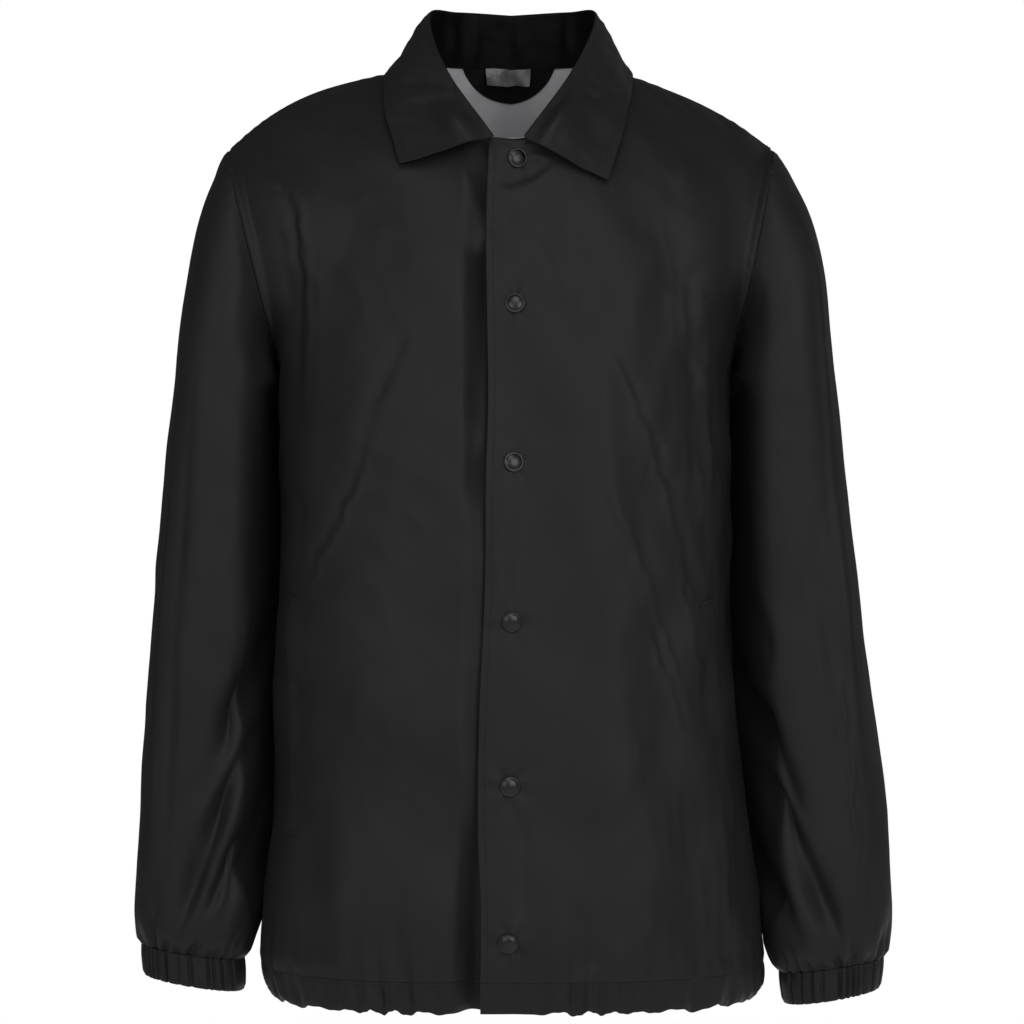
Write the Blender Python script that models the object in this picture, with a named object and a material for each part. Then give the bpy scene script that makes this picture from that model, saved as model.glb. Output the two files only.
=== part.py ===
"""A snap-front windbreaker in thin cloth, hollow and filled out as when worn.

Metres, +Z up, -Y the front, +X the wearer's left. The origin lies midway between the neck points
of the two shoulders, where the garment rests on its wearer.
"""

import math
from collections import namedtuple

import bpy
import numpy as np

RIGHT = -1
LEFT = 1

# Wall of each cloth, and the space left between two pieces at a seam
CLOTH = 0.0012
CASING_WALL = 0.0022
COLLAR_WALL = 0.0018
STRIP_WALL = 0.0010
LABEL_WALL = 0.0010
SEAM_GAP = 0.0003

# Heights of the body panels
HEM_BOTTOM = -0.727
CASING_TOP = -0.703
UNDERARM = -0.243
CENTRE_AT_UNDERARM = -0.278
SIDE_SEAM_Y = 0.004
BODY_ROUNDNESS = 2.8

# How far a row turns on its way to the side, the least near the shoulder, and how late it rises
SIDE_TURN = 90.0
SHOULDER_TURN = 20.0
SIDE_DIP = 3.0
# Share of the rows above the underarm that meet the middle before the neckline takes over
NECK_SHARE = {"front": 0.6, "back": 0.7}
NECK_BLEND_FROM = -0.160

# Front opening: the wearer's left front laps over the right front
LAP_TOP = 0.017
LAP_BOTTOM = 0.024
TUCK = 0.0045
TUCK_RUN = 0.030

# Neckline, as an angle from the centre front round to the centre back
NECK_HALF_WIDTH = 0.079
NECK_HALF_DEPTH = 0.078
NECK_MIDDLE_Y = -0.014
NECK_FRONT_DROP = -0.072
NECK_DROP_POWER = 2.6
NECK_BACK_RISE = 0.010
SHOULDER_ANGLE = 100.0

# Shoulder points and armholes
SHOULDER_X = {RIGHT: 0.2240, LEFT: 0.2075}
SHOULDER_Z = {RIGHT: -0.0664, LEFT: -0.0660}
SHOULDER_BOW = {RIGHT: 0.0165, LEFT: 0.0090}
BOW_LEAN = 1.35
BOW_FULLNESS = 0.8
ARMHOLE_FRONT = 0.074
ARMHOLE_BACK = 0.080
SLEEVE_ROUNDNESS = 2.15
MITRE_LEAN = 0.6

# Grid of each panel, and of the finer body that the collar is held clear of
FRONT_COLUMNS = 14
BACK_COLUMNS = 12
LOWER_ROWS = 13
UPPER_ROWS = 10
SLEEVE_COLUMNS = 40
SLEEVE_ROWS = 16
HEM_ROWS = 2
COLLAR_COLUMNS = 16
FINE_COLUMNS = 48
FINE_LOWER_ROWS = 52
FINE_UPPER_ROWS = 40
# Steps along a curve before it is cut evenly, and the smallest distance and area that count
CURVE_STEPS = 400
TOUCH = 1e-6
SLIVER = 1e-12

# Gathers of the elastic casings: the height of each kind, and how uneven they are
CUFF_GATHERS = 22
HEM_FRONT_GATHERS = 10
HEM_BACK_GATHERS = 20
POINTS_PER_GATHER = 3
GATHER_PHASE = 0.7
GATHER_SPREAD = 0.25
GATHER_BEAT = 0.45
CUFF_GATHER = 0.0022
CUFF_SWELL = (0.6, 1.0, 0.8)
CUFF_GAP = 0.0009
HEM_GATHER = 0.0022
HEM_TOP_SWELL = 0.4
HEM_EDGE_RIPPLE = 0.0012
LAP_FLAT_FROM = -0.010
LAP_FLAT_TO = 0.050
# The sleeve bunches above its cuff, less on the side next to the body and less at the seam
SLEEVE_GATHER = 0.0030
SLEEVE_GATHER_RUN = 0.050
SLEEVE_GATHER_BEAT = 1.7
INSIDE_GATHER = 0.4
CUFF_SEAM_GATHER = 0.35

# Collar: the stand, the turn over the roll line, then the leaf
COLLAR_FRONT_ANGLE = 11.0
COLLAR_GAP = 0.0006
STAND_SHARES = (0.0, 0.33, 0.66)
ROLL_TURNS = (0, 60, 120, 180)
LEAF_SHARES = (0.2, 0.4, 0.6, 0.8, 1.0)
ROLL_RADIUS = 0.0030
LEAF_BULGE = 0.006
LEAF_CLEARANCE = 0.0056

# Snaps down the front, and the cap's profile as shares of its radius and rise
SNAP_RADIUS = 0.0076
SNAP_RISE = 0.0026
SNAP_SEGMENTS = 16
SNAP_PROFILE = ((0.92, 0.0), (1.0, 0.23), (0.96, 0.46), (0.72, 0.80), (0.36, 0.96))
SNAP_HEIGHTS = (-0.0830, -0.1955, -0.3150, -0.4345, -0.5570, -0.6735)
SNAP_TOP_X = 0.0045
SNAP_BOTTOM_X = -0.0020

# Pocket edges, on a strip between two columns of the front panel
POCKET_TOP = -0.420
POCKET_BOTTOM = -0.600
POCKET_MARGIN = 0.013
POCKET_X = {RIGHT: 0.158, LEFT: 0.155}

# Half-moon patch and blank label inside the back neck
PATCH_HALF_WIDTH = 0.038
PATCH_DEPTH = 0.029
PATCH_END_DEPTH = 0.006
PATCH_COLUMNS = 12
PATCH_ROWS = 3
LABEL_LEFT = -0.0210
LABEL_RIGHT = 0.0165
LABEL_DEPTH = 0.0125
LABEL_HANG = 0.0016
LABEL_COLUMNS = 6
LABEL_ROWS = 2
BACK_NECK_MARGIN = 0.0012

Side = namedtuple("Side", "height right left")
SIDES = (
    Side(-0.727, 0.1895, 0.1945),
    Side(-0.703, 0.1955, 0.1970),
    Side(-0.651, 0.1930, 0.1925),
    Side(-0.592, 0.1880, 0.1850),
    Side(-0.423, 0.1830, 0.1725),
    Side(-0.243, 0.1810, 0.1730),
)

Centre = namedtuple("Centre", "height front back")
CENTRES = (
    Centre(-0.727, 0.144, 0.136),
    Centre(-0.703, 0.147, 0.139),
    Centre(-0.592, 0.145, 0.135),
    Centre(-0.423, 0.139, 0.127),
    Centre(-0.278, 0.132, 0.130),
    Centre(-0.150, 0.117, 0.124),
    Centre(-0.072, 0.092, 0.106),
    Centre(-0.020, 0.076, 0.084),
    Centre(0.010, 0.064, 0.064),
)

# A sleeve section: its inner and outer ends seen from the front, then its depth
Sleeve = namedtuple("Sleeve", "inner_z outer_z clear outer_right outer_left front back middle")
SLEEVES = (
    Sleeve(-0.249, -0.0861, 0.0030, 0.2333, 0.2204, 0.079, 0.084, 0.004),
    Sleeve(-0.256, -0.1177, 0.0028, 0.2440, 0.2352, 0.083, 0.087, 0.004),
    Sleeve(-0.264, -0.1620, 0.0024, 0.2524, 0.2451, 0.085, 0.088, 0.003),
    Sleeve(-0.278, -0.2117, 0.0020, 0.2598, 0.2504, 0.084, 0.087, 0.002),
    Sleeve(-0.300, -0.2654, 0.0018, 0.2648, 0.2555, 0.082, 0.085, 0.001),
    Sleeve(-0.350, -0.3397, 0.0017, 0.2722, 0.2637, 0.078, 0.081, -0.001),
    Sleeve(-0.424, -0.4234, 0.0017, 0.2795, 0.2738, 0.073, 0.076, -0.005),
    Sleeve(-0.513, -0.5127, 0.0018, 0.2857, 0.2855, 0.067, 0.069, -0.011),
    Sleeve(-0.596, -0.5917, 0.0020, 0.2897, 0.2945, 0.061, 0.062, -0.017),
    Sleeve(-0.655, -0.6440, 0.0022, 0.2913, 0.2962, 0.054, 0.055, -0.021),
    Sleeve(-0.684, -0.6740, 0.0065, 0.2912, 0.2945, 0.047, 0.048, -0.022),
    Sleeve(-0.700, -0.6880, 0.0135, 0.2885, 0.2910, 0.036, 0.037, -0.022),
)
CUFF_TOP_ROW = len(SLEEVES) - 1
CUFF_BOTTOM = Sleeve(-0.7245, -0.7120, 0.0190, 0.2865, 0.2880, 0.034, 0.035, -0.022)
LEFT_SLEEVE_DROP = 0.0105
LEFT_DROP_FROM = -0.300

# A collar section, by its angle round the neckline: the roll line, then the leaf's free edge
Collar = namedtuple(
    "Collar",
    "angle roll_right roll_left roll_y roll_z right_x right_y right_z left_x left_y left_z",
)
COLLARS = (
    Collar(11, 0.0190, 0.0120, -0.1000, -0.0640, 0.0840, -0.094, -0.086, 0.0740, -0.098, -0.100),
    Collar(52, 0.0495, 0.0475, -0.0540, -0.0100, 0.0965, -0.055, -0.039, 0.0900, -0.056, -0.045),
    Collar(100, 0.0635, 0.0665, 0.0080, 0.0430, 0.1030, 0.006, -0.006, 0.0965, 0.006, -0.008),
    Collar(140, 0.0420, 0.0450, 0.0430, 0.0490, 0.0700, 0.080, -0.004, 0.0700, 0.080, -0.004),
    Collar(180, 0.0000, 0.0000, 0.0540, 0.0480, 0.0000, 0.098, -0.014, 0.0000, 0.098, -0.014),
)

# The largest folds, as lines in the front or back view: a ridge rises, a trough is below zero
Fold = namedtuple("Fold", "side from_x from_z to_x to_z width rise")
FRONT_FOLDS = (
    Fold(RIGHT, -0.077, -0.222, -0.138, -0.385, 0.016, -0.0045),
    Fold(RIGHT, -0.104, -0.230, -0.160, -0.345, 0.018, 0.0040),
    Fold(RIGHT, -0.160, -0.120, -0.163, -0.265, 0.014, -0.0035),
    Fold(RIGHT, -0.085, -0.600, -0.083, -0.705, 0.018, -0.0030),
    Fold(LEFT, 0.071, -0.220, 0.080, -0.350, 0.016, 0.0045),
    Fold(LEFT, 0.079, -0.335, 0.143, -0.545, 0.018, 0.0055),
    Fold(LEFT, 0.106, -0.300, 0.148, -0.460, 0.016, 0.0045),
    Fold(LEFT, 0.141, -0.170, 0.143, -0.325, 0.014, -0.0035),
    Fold(LEFT, 0.155, -0.640, 0.166, -0.710, 0.016, -0.0030),
)
BACK_FOLDS = (
    Fold(RIGHT, -0.070, -0.150, -0.135, -0.330, 0.020, -0.0045),
    Fold(RIGHT, -0.050, -0.480, -0.110, -0.690, 0.024, 0.0050),
    Fold(RIGHT, -0.125, -0.400, -0.150, -0.620, 0.020, -0.0035),
    Fold(LEFT, 0.085, -0.170, 0.140, -0.350, 0.020, -0.0045),
    Fold(LEFT, 0.055, -0.430, 0.090, -0.690, 0.024, 0.0050),
    Fold(LEFT, 0.130, -0.420, 0.145, -0.600, 0.020, -0.0035),
)
# Sleeve folds run by the angle round the sleeve, 0 outside, 90 front, 180 inside, 270 back
SleeveFold = namedtuple("SleeveFold", "side from_turn from_z to_turn to_z width rise")
SLEEVE_FOLDS = (
    SleeveFold(RIGHT, 150, -0.455, 88, -0.575, 0.016, -0.0060),
    SleeveFold(RIGHT, 150, -0.530, 78, -0.675, 0.014, -0.0055),
    SleeveFold(RIGHT, 150, -0.590, 118, -0.690, 0.013, -0.0050),
    SleeveFold(RIGHT, 235, -0.430, 290, -0.560, 0.018, -0.0050),
    SleeveFold(RIGHT, 225, -0.540, 285, -0.660, 0.016, -0.0045),
    SleeveFold(LEFT, 150, -0.455, 102, -0.590, 0.016, -0.0060),
    SleeveFold(LEFT, 150, -0.530, 112, -0.685, 0.014, -0.0055),
    SleeveFold(LEFT, 64, -0.400, 53, -0.680, 0.012, 0.0030),
    SleeveFold(LEFT, 230, -0.420, 285, -0.550, 0.018, -0.0050),
    SleeveFold(LEFT, 225, -0.550, 275, -0.670, 0.016, -0.0045),
)
SLEEVE_MEAN_RADIUS = 0.060
# A fold starts a little before its end point and is full some way in; it fades out near a seam
FOLD_END_START = -0.020
FOLD_END_FULL = 0.060
FOLD_EDGE = 0.12
FOLD_FOOT = 0.04

Sheet = namedtuple("Sheet", "points normals flipped")


def unit(vectors):
    """The same directions at length one."""
    return vectors / np.linalg.norm(vectors, axis=-1, keepdims=True)


def column(table, name):
    """One named column of a table."""
    return np.array([getattr(row, name) for row in table], float)


def spline(knots, values, at):
    """A smooth curve through the values at the rising knots."""
    knots = np.asarray(knots, float)
    values = np.asarray(values, float)
    at = np.clip(np.asarray(at, float), knots[0], knots[-1])
    slopes = np.gradient(values, knots)
    low = np.clip(np.searchsorted(knots, at, side="right") - 1, 0, len(knots) - 2)
    span = knots[low + 1] - knots[low]
    t = (at - knots[low]) / span
    start = values[low] * (1 + 2 * t) * (1 - t) ** 2 + slopes[low] * span * t * (1 - t) ** 2
    end = values[low + 1] * t**2 * (3 - 2 * t) + slopes[low + 1] * span * t**2 * (t - 1)
    return start + end


def smooth_step(low, high, value):
    """Zero below low, one above high, with a soft start and end."""
    t = np.clip((value - low) / (high - low), 0, 1)
    return t * t * (3 - 2 * t)


def even(points, count):
    """The polyline cut into count pieces of equal length."""
    lengths = np.linalg.norm(np.diff(points, axis=0), axis=1)
    run = np.concatenate([[0], np.cumsum(lengths)])
    at = np.linspace(0, run[-1], count + 1)
    return np.stack([np.interp(at, run, points[:, axis]) for axis in range(3)], axis=1)


def power(value, exponent):
    """A power that keeps the sign."""
    return np.sign(value) * np.abs(value) ** exponent


def gather_wave(count):
    """Gathers round a casing, each a little higher or lower than the next."""
    index = np.arange(count)
    uneven = 1 - GATHER_SPREAD + GATHER_SPREAD * np.sin(GATHER_BEAT * index)
    return np.sin(2 * np.pi * index / POINTS_PER_GATHER + GATHER_PHASE) * uneven


def half_width(side, height):
    """From the middle of the body to the side seam."""
    name = "right" if side == RIGHT else "left"
    return spline(column(SIDES, "height"), column(SIDES, name), height)


def centre_depth(face, height):
    """From the middle of the body to the centre front or centre back."""
    return spline(column(CENTRES, "height"), column(CENTRES, face), height)


def neckline(side, angle):
    """A point of the neckline, at an angle from the centre front."""
    turn = np.radians(angle)
    x = side * NECK_HALF_WIDTH * np.sin(turn)
    y = NECK_MIDDLE_Y - NECK_HALF_DEPTH * np.cos(turn)
    drop = NECK_FRONT_DROP * ((1 + np.cos(turn)) / 2) ** NECK_DROP_POWER
    z = drop + NECK_BACK_RISE * (1 - np.cos(turn)) / 2
    return np.stack([x, y, z], axis=-1)


def ring(inner, outer, front, back, middle, turn):
    """Points of one sleeve section. Turn is in degrees: 0 outside, 90 front, 180 inside."""
    angle = np.radians(turn)
    across = power(np.cos(angle), 2 / SLEEVE_ROUNDNESS)
    forward = power(np.sin(angle), 2 / SLEEVE_ROUNDNESS)
    centre = (inner + outer) / 2
    half = (outer - inner) / 2
    depth = np.where(forward > 0, front, back)
    x = centre[0] + half[0] * across
    z = centre[1] + half[1] * across
    return np.stack([x, middle - depth * forward, z], axis=-1)


def armhole(side, turn):
    """Points of the armhole, from the shoulder point at 0 round to the underarm at 180."""
    inner = np.array([side * half_width(side, UNDERARM), UNDERARM])
    outer = np.array([side * SHOULDER_X[side], SHOULDER_Z[side]])
    return ring(inner, outer, ARMHOLE_FRONT, ARMHOLE_BACK, SIDE_SEAM_Y, turn)


def armhole_turns(side, face, count):
    """Turns from the underarm up to the shoulder that divide the armhole evenly."""
    sweep = np.linspace(180, 0 if face == "front" else 360, CURVE_STEPS)
    points = armhole(side, sweep)
    run = np.concatenate([[0], np.cumsum(np.linalg.norm(np.diff(points, axis=0), axis=1))])
    return np.interp(np.linspace(0, run[-1], count + 1), run, sweep)


def armhole_normals(side, turn):
    """Half way between the facing of the panel and of the sleeve, so their edges meet as a mitre."""
    centre = armhole(side, np.array([0.0, 180.0])).mean(axis=0)
    return unit(unit(armhole(side, turn) - centre) + MITRE_LEAN * np.array([side, 0, 0]))


def shoulder_seam(side, count):
    """From the neck point to the shoulder point, bowed up."""
    start = neckline(side, np.array(SHOULDER_ANGLE))
    end = armhole(side, np.array(0.0))
    share = np.linspace(0, 1, count + 1)[:, None]
    points = start + (end - start) * share
    points[:, 2] += SHOULDER_BOW[side] * np.sin(np.pi * share[:, 0] ** BOW_LEAN) ** BOW_FULLNESS
    return points


def lap_edge(side, height):
    """Where the front edge of a panel runs, past the middle."""
    share = np.clip((height - CASING_TOP) / -CASING_TOP, 0, 1)
    return -side * (LAP_BOTTOM + (LAP_TOP - LAP_BOTTOM) * share)


def middle_line(side, face, heights):
    """The centre front edge or the centre back, at the given heights."""
    if face == "front":
        x = lap_edge(side, heights)
        y = -centre_depth("front", heights)
    else:
        x = np.zeros_like(heights)
        y = centre_depth("back", heights)
    return np.stack([x, y, heights], axis=-1)


def upper_middle(side, face, count):
    """From the middle at underarm level up to the neck, then along the neckline to the shoulder."""
    start = 180
    if face == "front":
        start = -math.degrees(math.asin(LAP_TOP / NECK_HALF_WIDTH))
    neck = neckline(side, np.linspace(start, SHOULDER_ANGLE, CURVE_STEPS))
    top = neck[0, 2]
    line = middle_line(side, face, np.linspace(CENTRE_AT_UNDERARM, top, CURVE_STEPS))
    line[:, 1] += (neck[0, 1] - line[-1, 1]) * smooth_step(NECK_BLEND_FROM, top, line[:, 2])
    line_count = round(count * NECK_SHARE[face])
    return np.concatenate([even(line, line_count)[:-1], even(neck, count - line_count)])


def cross_row(side, middle, outer, turn, exponent, dip, count):
    """One row of a panel, from its middle edge round to its side or armhole edge."""
    centre = middle.copy()
    centre[0] = side * max(0, side * middle[0])
    angle = np.linspace(0, math.radians(turn), CURVE_STEPS)
    across = power(np.sin(angle), exponent) / math.sin(math.radians(turn)) ** exponent
    deep = 1 - np.cos(angle) ** exponent
    deep = deep / deep[-1]
    share = np.stack([across, deep, across**dip], axis=1)
    points = centre + (outer - centre) * share
    if abs(centre[0] - middle[0]) > TOUCH:
        points = np.concatenate([middle[None], points])
    return even(points, count)


def fold_rise(folds, along, up):
    """Height of all folds at places of a view, in metres."""
    rise = np.zeros_like(along)
    for fold in folds:
        run = np.array([fold[3] - fold[1], fold[4] - fold[2]])
        length = np.linalg.norm(run)
        run = run / length
        ahead = (along - fold[1]) * run[0] + (up - fold[2]) * run[1]
        aside = (along - fold[1]) * run[1] - (up - fold[2]) * run[0]
        start = smooth_step(FOLD_END_START, FOLD_END_FULL, ahead)
        end = smooth_step(FOLD_END_START, FOLD_END_FULL, length - ahead)
        rise += fold.rise * start * end * np.exp(-((aside / fold.width) ** 2))
    return rise


def grid_normals(points, facing):
    """Facing of a grid of points, from its neighbours in each row and column."""
    across = np.gradient(points, axis=1)
    along = np.gradient(points, axis=0)
    return unit(facing * np.cross(across, along))


def edge_fade(rows, columns):
    """One inside a panel and zero at its edges, so that folds leave the seams in place."""
    across = np.linspace(0, 1, columns + 1)
    along = np.linspace(0, 1, rows + 1)
    fade_across = smooth_step(0, FOLD_EDGE, across) * smooth_step(0, FOLD_EDGE, 1 - across)
    fade_along = smooth_step(0, FOLD_EDGE, 1 - along) * smooth_step(0, FOLD_FOOT, along)
    return fade_along[:, None] * fade_across[None, :]


def panel(side, face, columns, lower_rows, upper_rows):
    """Half of the body cloth on one face, from the hem casing up to the shoulder seam."""
    share = np.linspace(0, 1, lower_rows + 1)
    side_heights = CASING_TOP + (UNDERARM - CASING_TOP) * share
    middle_heights = CASING_TOP + (CENTRE_AT_UNDERARM - CASING_TOP) * share
    middles = middle_line(side, face, middle_heights)
    rows = []
    for middle, height in zip(middles, side_heights):
        outer = np.array([side * half_width(side, height), SIDE_SEAM_Y, height])
        rows.append(
            cross_row(side, middle, outer, SIDE_TURN, 2 / BODY_ROUNDNESS, SIDE_DIP, columns)
        )
    turns = armhole_turns(side, face, upper_rows)
    outers = armhole(side, turns)
    uppers = upper_middle(side, face, upper_rows)
    for step in range(1, upper_rows):
        up = step / upper_rows
        exponent = 2 / BODY_ROUNDNESS + (1 - 2 / BODY_ROUNDNESS) * up
        depth = (outers[step][1] - SIDE_SEAM_Y) / (uppers[step][1] - SIDE_SEAM_Y)
        turn = math.degrees(math.acos(min(max(depth, 0), 1) ** (1 / exponent)))
        turn = max(turn, SHOULDER_TURN)
        dip = SIDE_DIP + (1 - SIDE_DIP) * up
        rows.append(cross_row(side, uppers[step], outers[step], turn, exponent, dip, columns))
    rows.append(shoulder_seam(side, columns))
    points = np.array(rows)
    facing = side if face == "front" else -side
    normals = grid_normals(points, facing)
    folds = FRONT_FOLDS if face == "front" else BACK_FOLDS
    rise = fold_rise([f for f in folds if f.side == side], points[..., 0], points[..., 2])
    points = points + normals * (rise * edge_fade(lower_rows + upper_rows, columns))[..., None]
    normals = grid_normals(points, facing)
    if face == "back":
        normals[:, 0, 0] = np.where(np.abs(points[:, 0, 0]) < TOUCH, 0, normals[:, 0, 0])
    return seamed(points, unit(normals), side, face, lower_rows, turns)


def seamed(points, normals, side, face, lower_rows, turns):
    """The panel with its seam edges drawn back by half the gap and mitred with their neighbours."""
    away = -1 if face == "front" else 1
    half_gap = SEAM_GAP / 2
    seam = points[-1]
    run = np.gradient(seam, axis=0)
    lift = np.stack([-run[:, 2], np.zeros(len(run)), run[:, 0]], axis=1)
    normals[-1] = unit(side * lift)
    points[-1, :, 1] += away * half_gap
    normals[: lower_rows + 1, -1] = (side, 0, 0)
    points[: lower_rows + 1, -1, 1] += away * half_gap
    normals[lower_rows:, -1] = armhole_normals(side, turns)
    points[lower_rows + 1 :, -1, 0] -= side * half_gap
    if face == "front" and side == RIGHT:
        lap = points[..., 0] - lap_edge(LEFT, points[..., 2])
        points[..., 1] += TUCK * smooth_step(-TUCK_RUN, 0, lap)
    return Sheet(points, normals, (side if face == "front" else -side) < 0)


def sleeve_section(side, row):
    """Inner end, outer end, depths and middle of one row of the sleeve table."""
    inner_x = half_width(side, row.inner_z) + row.clear
    outer_x = row.outer_right if side == RIGHT else row.outer_left
    drop = 0 if side == RIGHT else LEFT_SLEEVE_DROP
    inner_z = row.inner_z - drop * smooth_step(LEFT_DROP_FROM, CASING_TOP, row.inner_z)
    outer_z = row.outer_z - drop * smooth_step(LEFT_DROP_FROM, CASING_TOP, row.outer_z)
    return np.array([side * inner_x, inner_z, side * outer_x, outer_z, row.front, row.back, row.middle])


def sleeve_turns(side, columns):
    """Turns of the sleeve's columns, from the underarm by the front, the shoulder and the back."""
    front = armhole_turns(side, "front", columns // 2)
    back = armhole_turns(side, "back", columns // 2)
    return np.concatenate([front, back[::-1][1:-1]])


def tube_rings(sections, turns):
    """A ring of points for each section."""
    rings = [ring(s[:2], s[2:4], s[4], s[5], s[6], turns) for s in sections]
    return np.array(rings)


def around_normals(points, facing):
    """Facing of a tube whose columns close round on themselves."""
    across = np.roll(points, -1, axis=1) - np.roll(points, 1, axis=1)
    along = np.gradient(points, axis=0)
    return unit(facing * np.cross(across, along))


def sleeve(side, columns, rows):
    """The cloth of one sleeve, from the armhole down to the cuff."""
    turns = sleeve_turns(side, columns)
    first = np.concatenate([
        [side * half_width(side, UNDERARM), UNDERARM],
        [side * SHOULDER_X[side], SHOULDER_Z[side]],
        [ARMHOLE_FRONT, ARMHOLE_BACK, SIDE_SEAM_Y],
    ])
    table = np.array([first] + [sleeve_section(side, row) for row in SLEEVES])
    knots = np.arange(len(table))
    at = np.linspace(0, len(table) - 1, rows + 1)
    sections = np.stack([spline(knots, table[:, i], at) for i in range(table.shape[1])], axis=1)
    points = tube_rings(sections, turns)
    normals = around_normals(points, -side)
    around = np.radians(turns)[None, :] * SLEEVE_MEAN_RADIUS * np.ones((rows + 1, 1))
    scaled = [
        fold._replace(
            from_turn=math.radians(fold.from_turn) * SLEEVE_MEAN_RADIUS,
            to_turn=math.radians(fold.to_turn) * SLEEVE_MEAN_RADIUS,
        )
        for fold in SLEEVE_FOLDS
        if fold.side == side
    ]
    rise = fold_rise(scaled, around, points[..., 2])
    above = points[..., 2] - points[-1, :, 2]
    bunch = np.clip(1 - above / SLEEVE_GATHER_RUN, 0, 1)
    index = np.arange(columns)
    uneven = 1 - GATHER_SPREAD + GATHER_SPREAD * np.sin(SLEEVE_GATHER_BEAT * index)
    alternate = np.where(index % 2 == 0, 1.0, -1.0)
    outward = smooth_step(-1, 1, np.cos(np.radians(turns)))
    rise += SLEEVE_GATHER * bunch * uneven * alternate * (INSIDE_GATHER + (1 - INSIDE_GATHER) * outward)
    rise[0] = 0
    rise[-1] *= CUFF_SEAM_GATHER
    points = points + normals * rise[..., None]
    normals = around_normals(points, -side)
    normals[0] = armhole_normals(side, turns)
    # Every other point lies half way between two points of the panels, so the edges run together
    for ends in (points[0], normals[0]):
        ends[1::2] = (ends[0::2] + np.roll(ends[0::2], -1, axis=0)) / 2
    points[0, :, 0] += side * SEAM_GAP / 2
    return Sheet(points, normals, side > 0)


def cuff(side):
    """The gathered elastic casing at the end of a sleeve."""
    count = CUFF_GATHERS * POINTS_PER_GATHER
    turns = np.linspace(180, -180, count, endpoint=False)
    top = sleeve_section(side, SLEEVES[CUFF_TOP_ROW])
    bottom = sleeve_section(side, CUFF_BOTTOM)
    swell = np.array(CUFF_SWELL)
    share = np.linspace(0, 1, len(swell))
    sections = top + (bottom - top) * share[:, None]
    sections[:, [1, 3]] -= CUFF_GAP
    points = tube_rings(sections, turns)
    normals = around_normals(points, -side)
    rise = CUFF_GATHER * swell[:, None] * gather_wave(count)
    points = points + normals * rise[..., None]
    return Sheet(points, around_normals(points, -side), side > 0)


def hem(side, face, gathers):
    """Half of the gathered hem casing on one face."""
    count = gathers * POINTS_PER_GATHER
    heights = np.linspace(CASING_TOP - SEAM_GAP, HEM_BOTTOM, HEM_ROWS + 1)
    rows = []
    for height in heights:
        middle = middle_line(side, face, np.array([height]))[0]
        outer = np.array([side * half_width(side, height), SIDE_SEAM_Y, height])
        rows.append(cross_row(side, middle, outer, SIDE_TURN, 2 / BODY_ROUNDNESS, 1.0, count))
    points = np.array(rows)
    facing = side if face == "front" else -side
    normals = grid_normals(points, facing)
    wave = gather_wave(count + 1)
    wave[-1] = 0
    if face == "front":
        wave = wave * smooth_step(LAP_FLAT_FROM, LAP_FLAT_TO, side * points[0, :, 0])
    else:
        wave[0] = 0
    swell = np.linspace(HEM_TOP_SWELL, 1, HEM_ROWS + 1)
    points = points + normals * (HEM_GATHER * swell[:, None] * wave)[..., None]
    points[-1, :, 2] += HEM_EDGE_RIPPLE * wave
    normals = grid_normals(points, facing)
    if face == "back":
        normals[:, 0] = (0, 1, 0)
    return seamed_hem(points, normals, side, face)


def seamed_hem(points, normals, side, face):
    """The hem casing with its side edge drawn back by half the gap."""
    away = -1 if face == "front" else 1
    normals[:, -1] = (side, 0, 0)
    points[:, -1, 1] += away * SEAM_GAP / 2
    if face == "front" and side == RIGHT:
        lap = points[..., 0] - lap_edge(LEFT, points[..., 2])
        points[..., 1] += TUCK * smooth_step(-TUCK_RUN, 0, lap)
    return Sheet(points, normals, (side if face == "front" else -side) < 0)


def collar_angles():
    """Angles of the collar's sections on one side."""
    return np.linspace(COLLAR_FRONT_ANGLE, 180, COLLAR_COLUMNS + 1)


def collar_curve(side, x_name, y_name, z_name):
    """Three columns of the collar table as one curve over the angle."""
    angles = column(COLLARS, "angle")
    curves = [spline(angles, column(COLLARS, n), collar_angles()) for n in (x_name, y_name, z_name)]
    return np.stack([side * curves[0], curves[1], curves[2]], axis=1)


def collar_half(side):
    """Seam, roll line and free edge of one half of the collar."""
    word = "right" if side == RIGHT else "left"
    seam = neckline(side, collar_angles())
    roll = collar_curve(side, "roll_" + word, "roll_y", "roll_z")
    edge = collar_curve(side, word + "_x", word + "_y", word + "_z")
    return seam, roll, edge


def clear_of(points, body_points, body_normals, clearance):
    """Points pushed out along the nearest facing of the body until they clear it."""
    flat = points.reshape(-1, 3)
    moved = flat.copy()
    for index, point in enumerate(flat):
        nearest = np.argmin(((body_points - point) ** 2).sum(axis=1))
        height = (point - body_points[nearest]) @ body_normals[nearest]
        if height < clearance:
            moved[index] = point + (clearance - height) * body_normals[nearest]
    return moved.reshape(points.shape)


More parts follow.
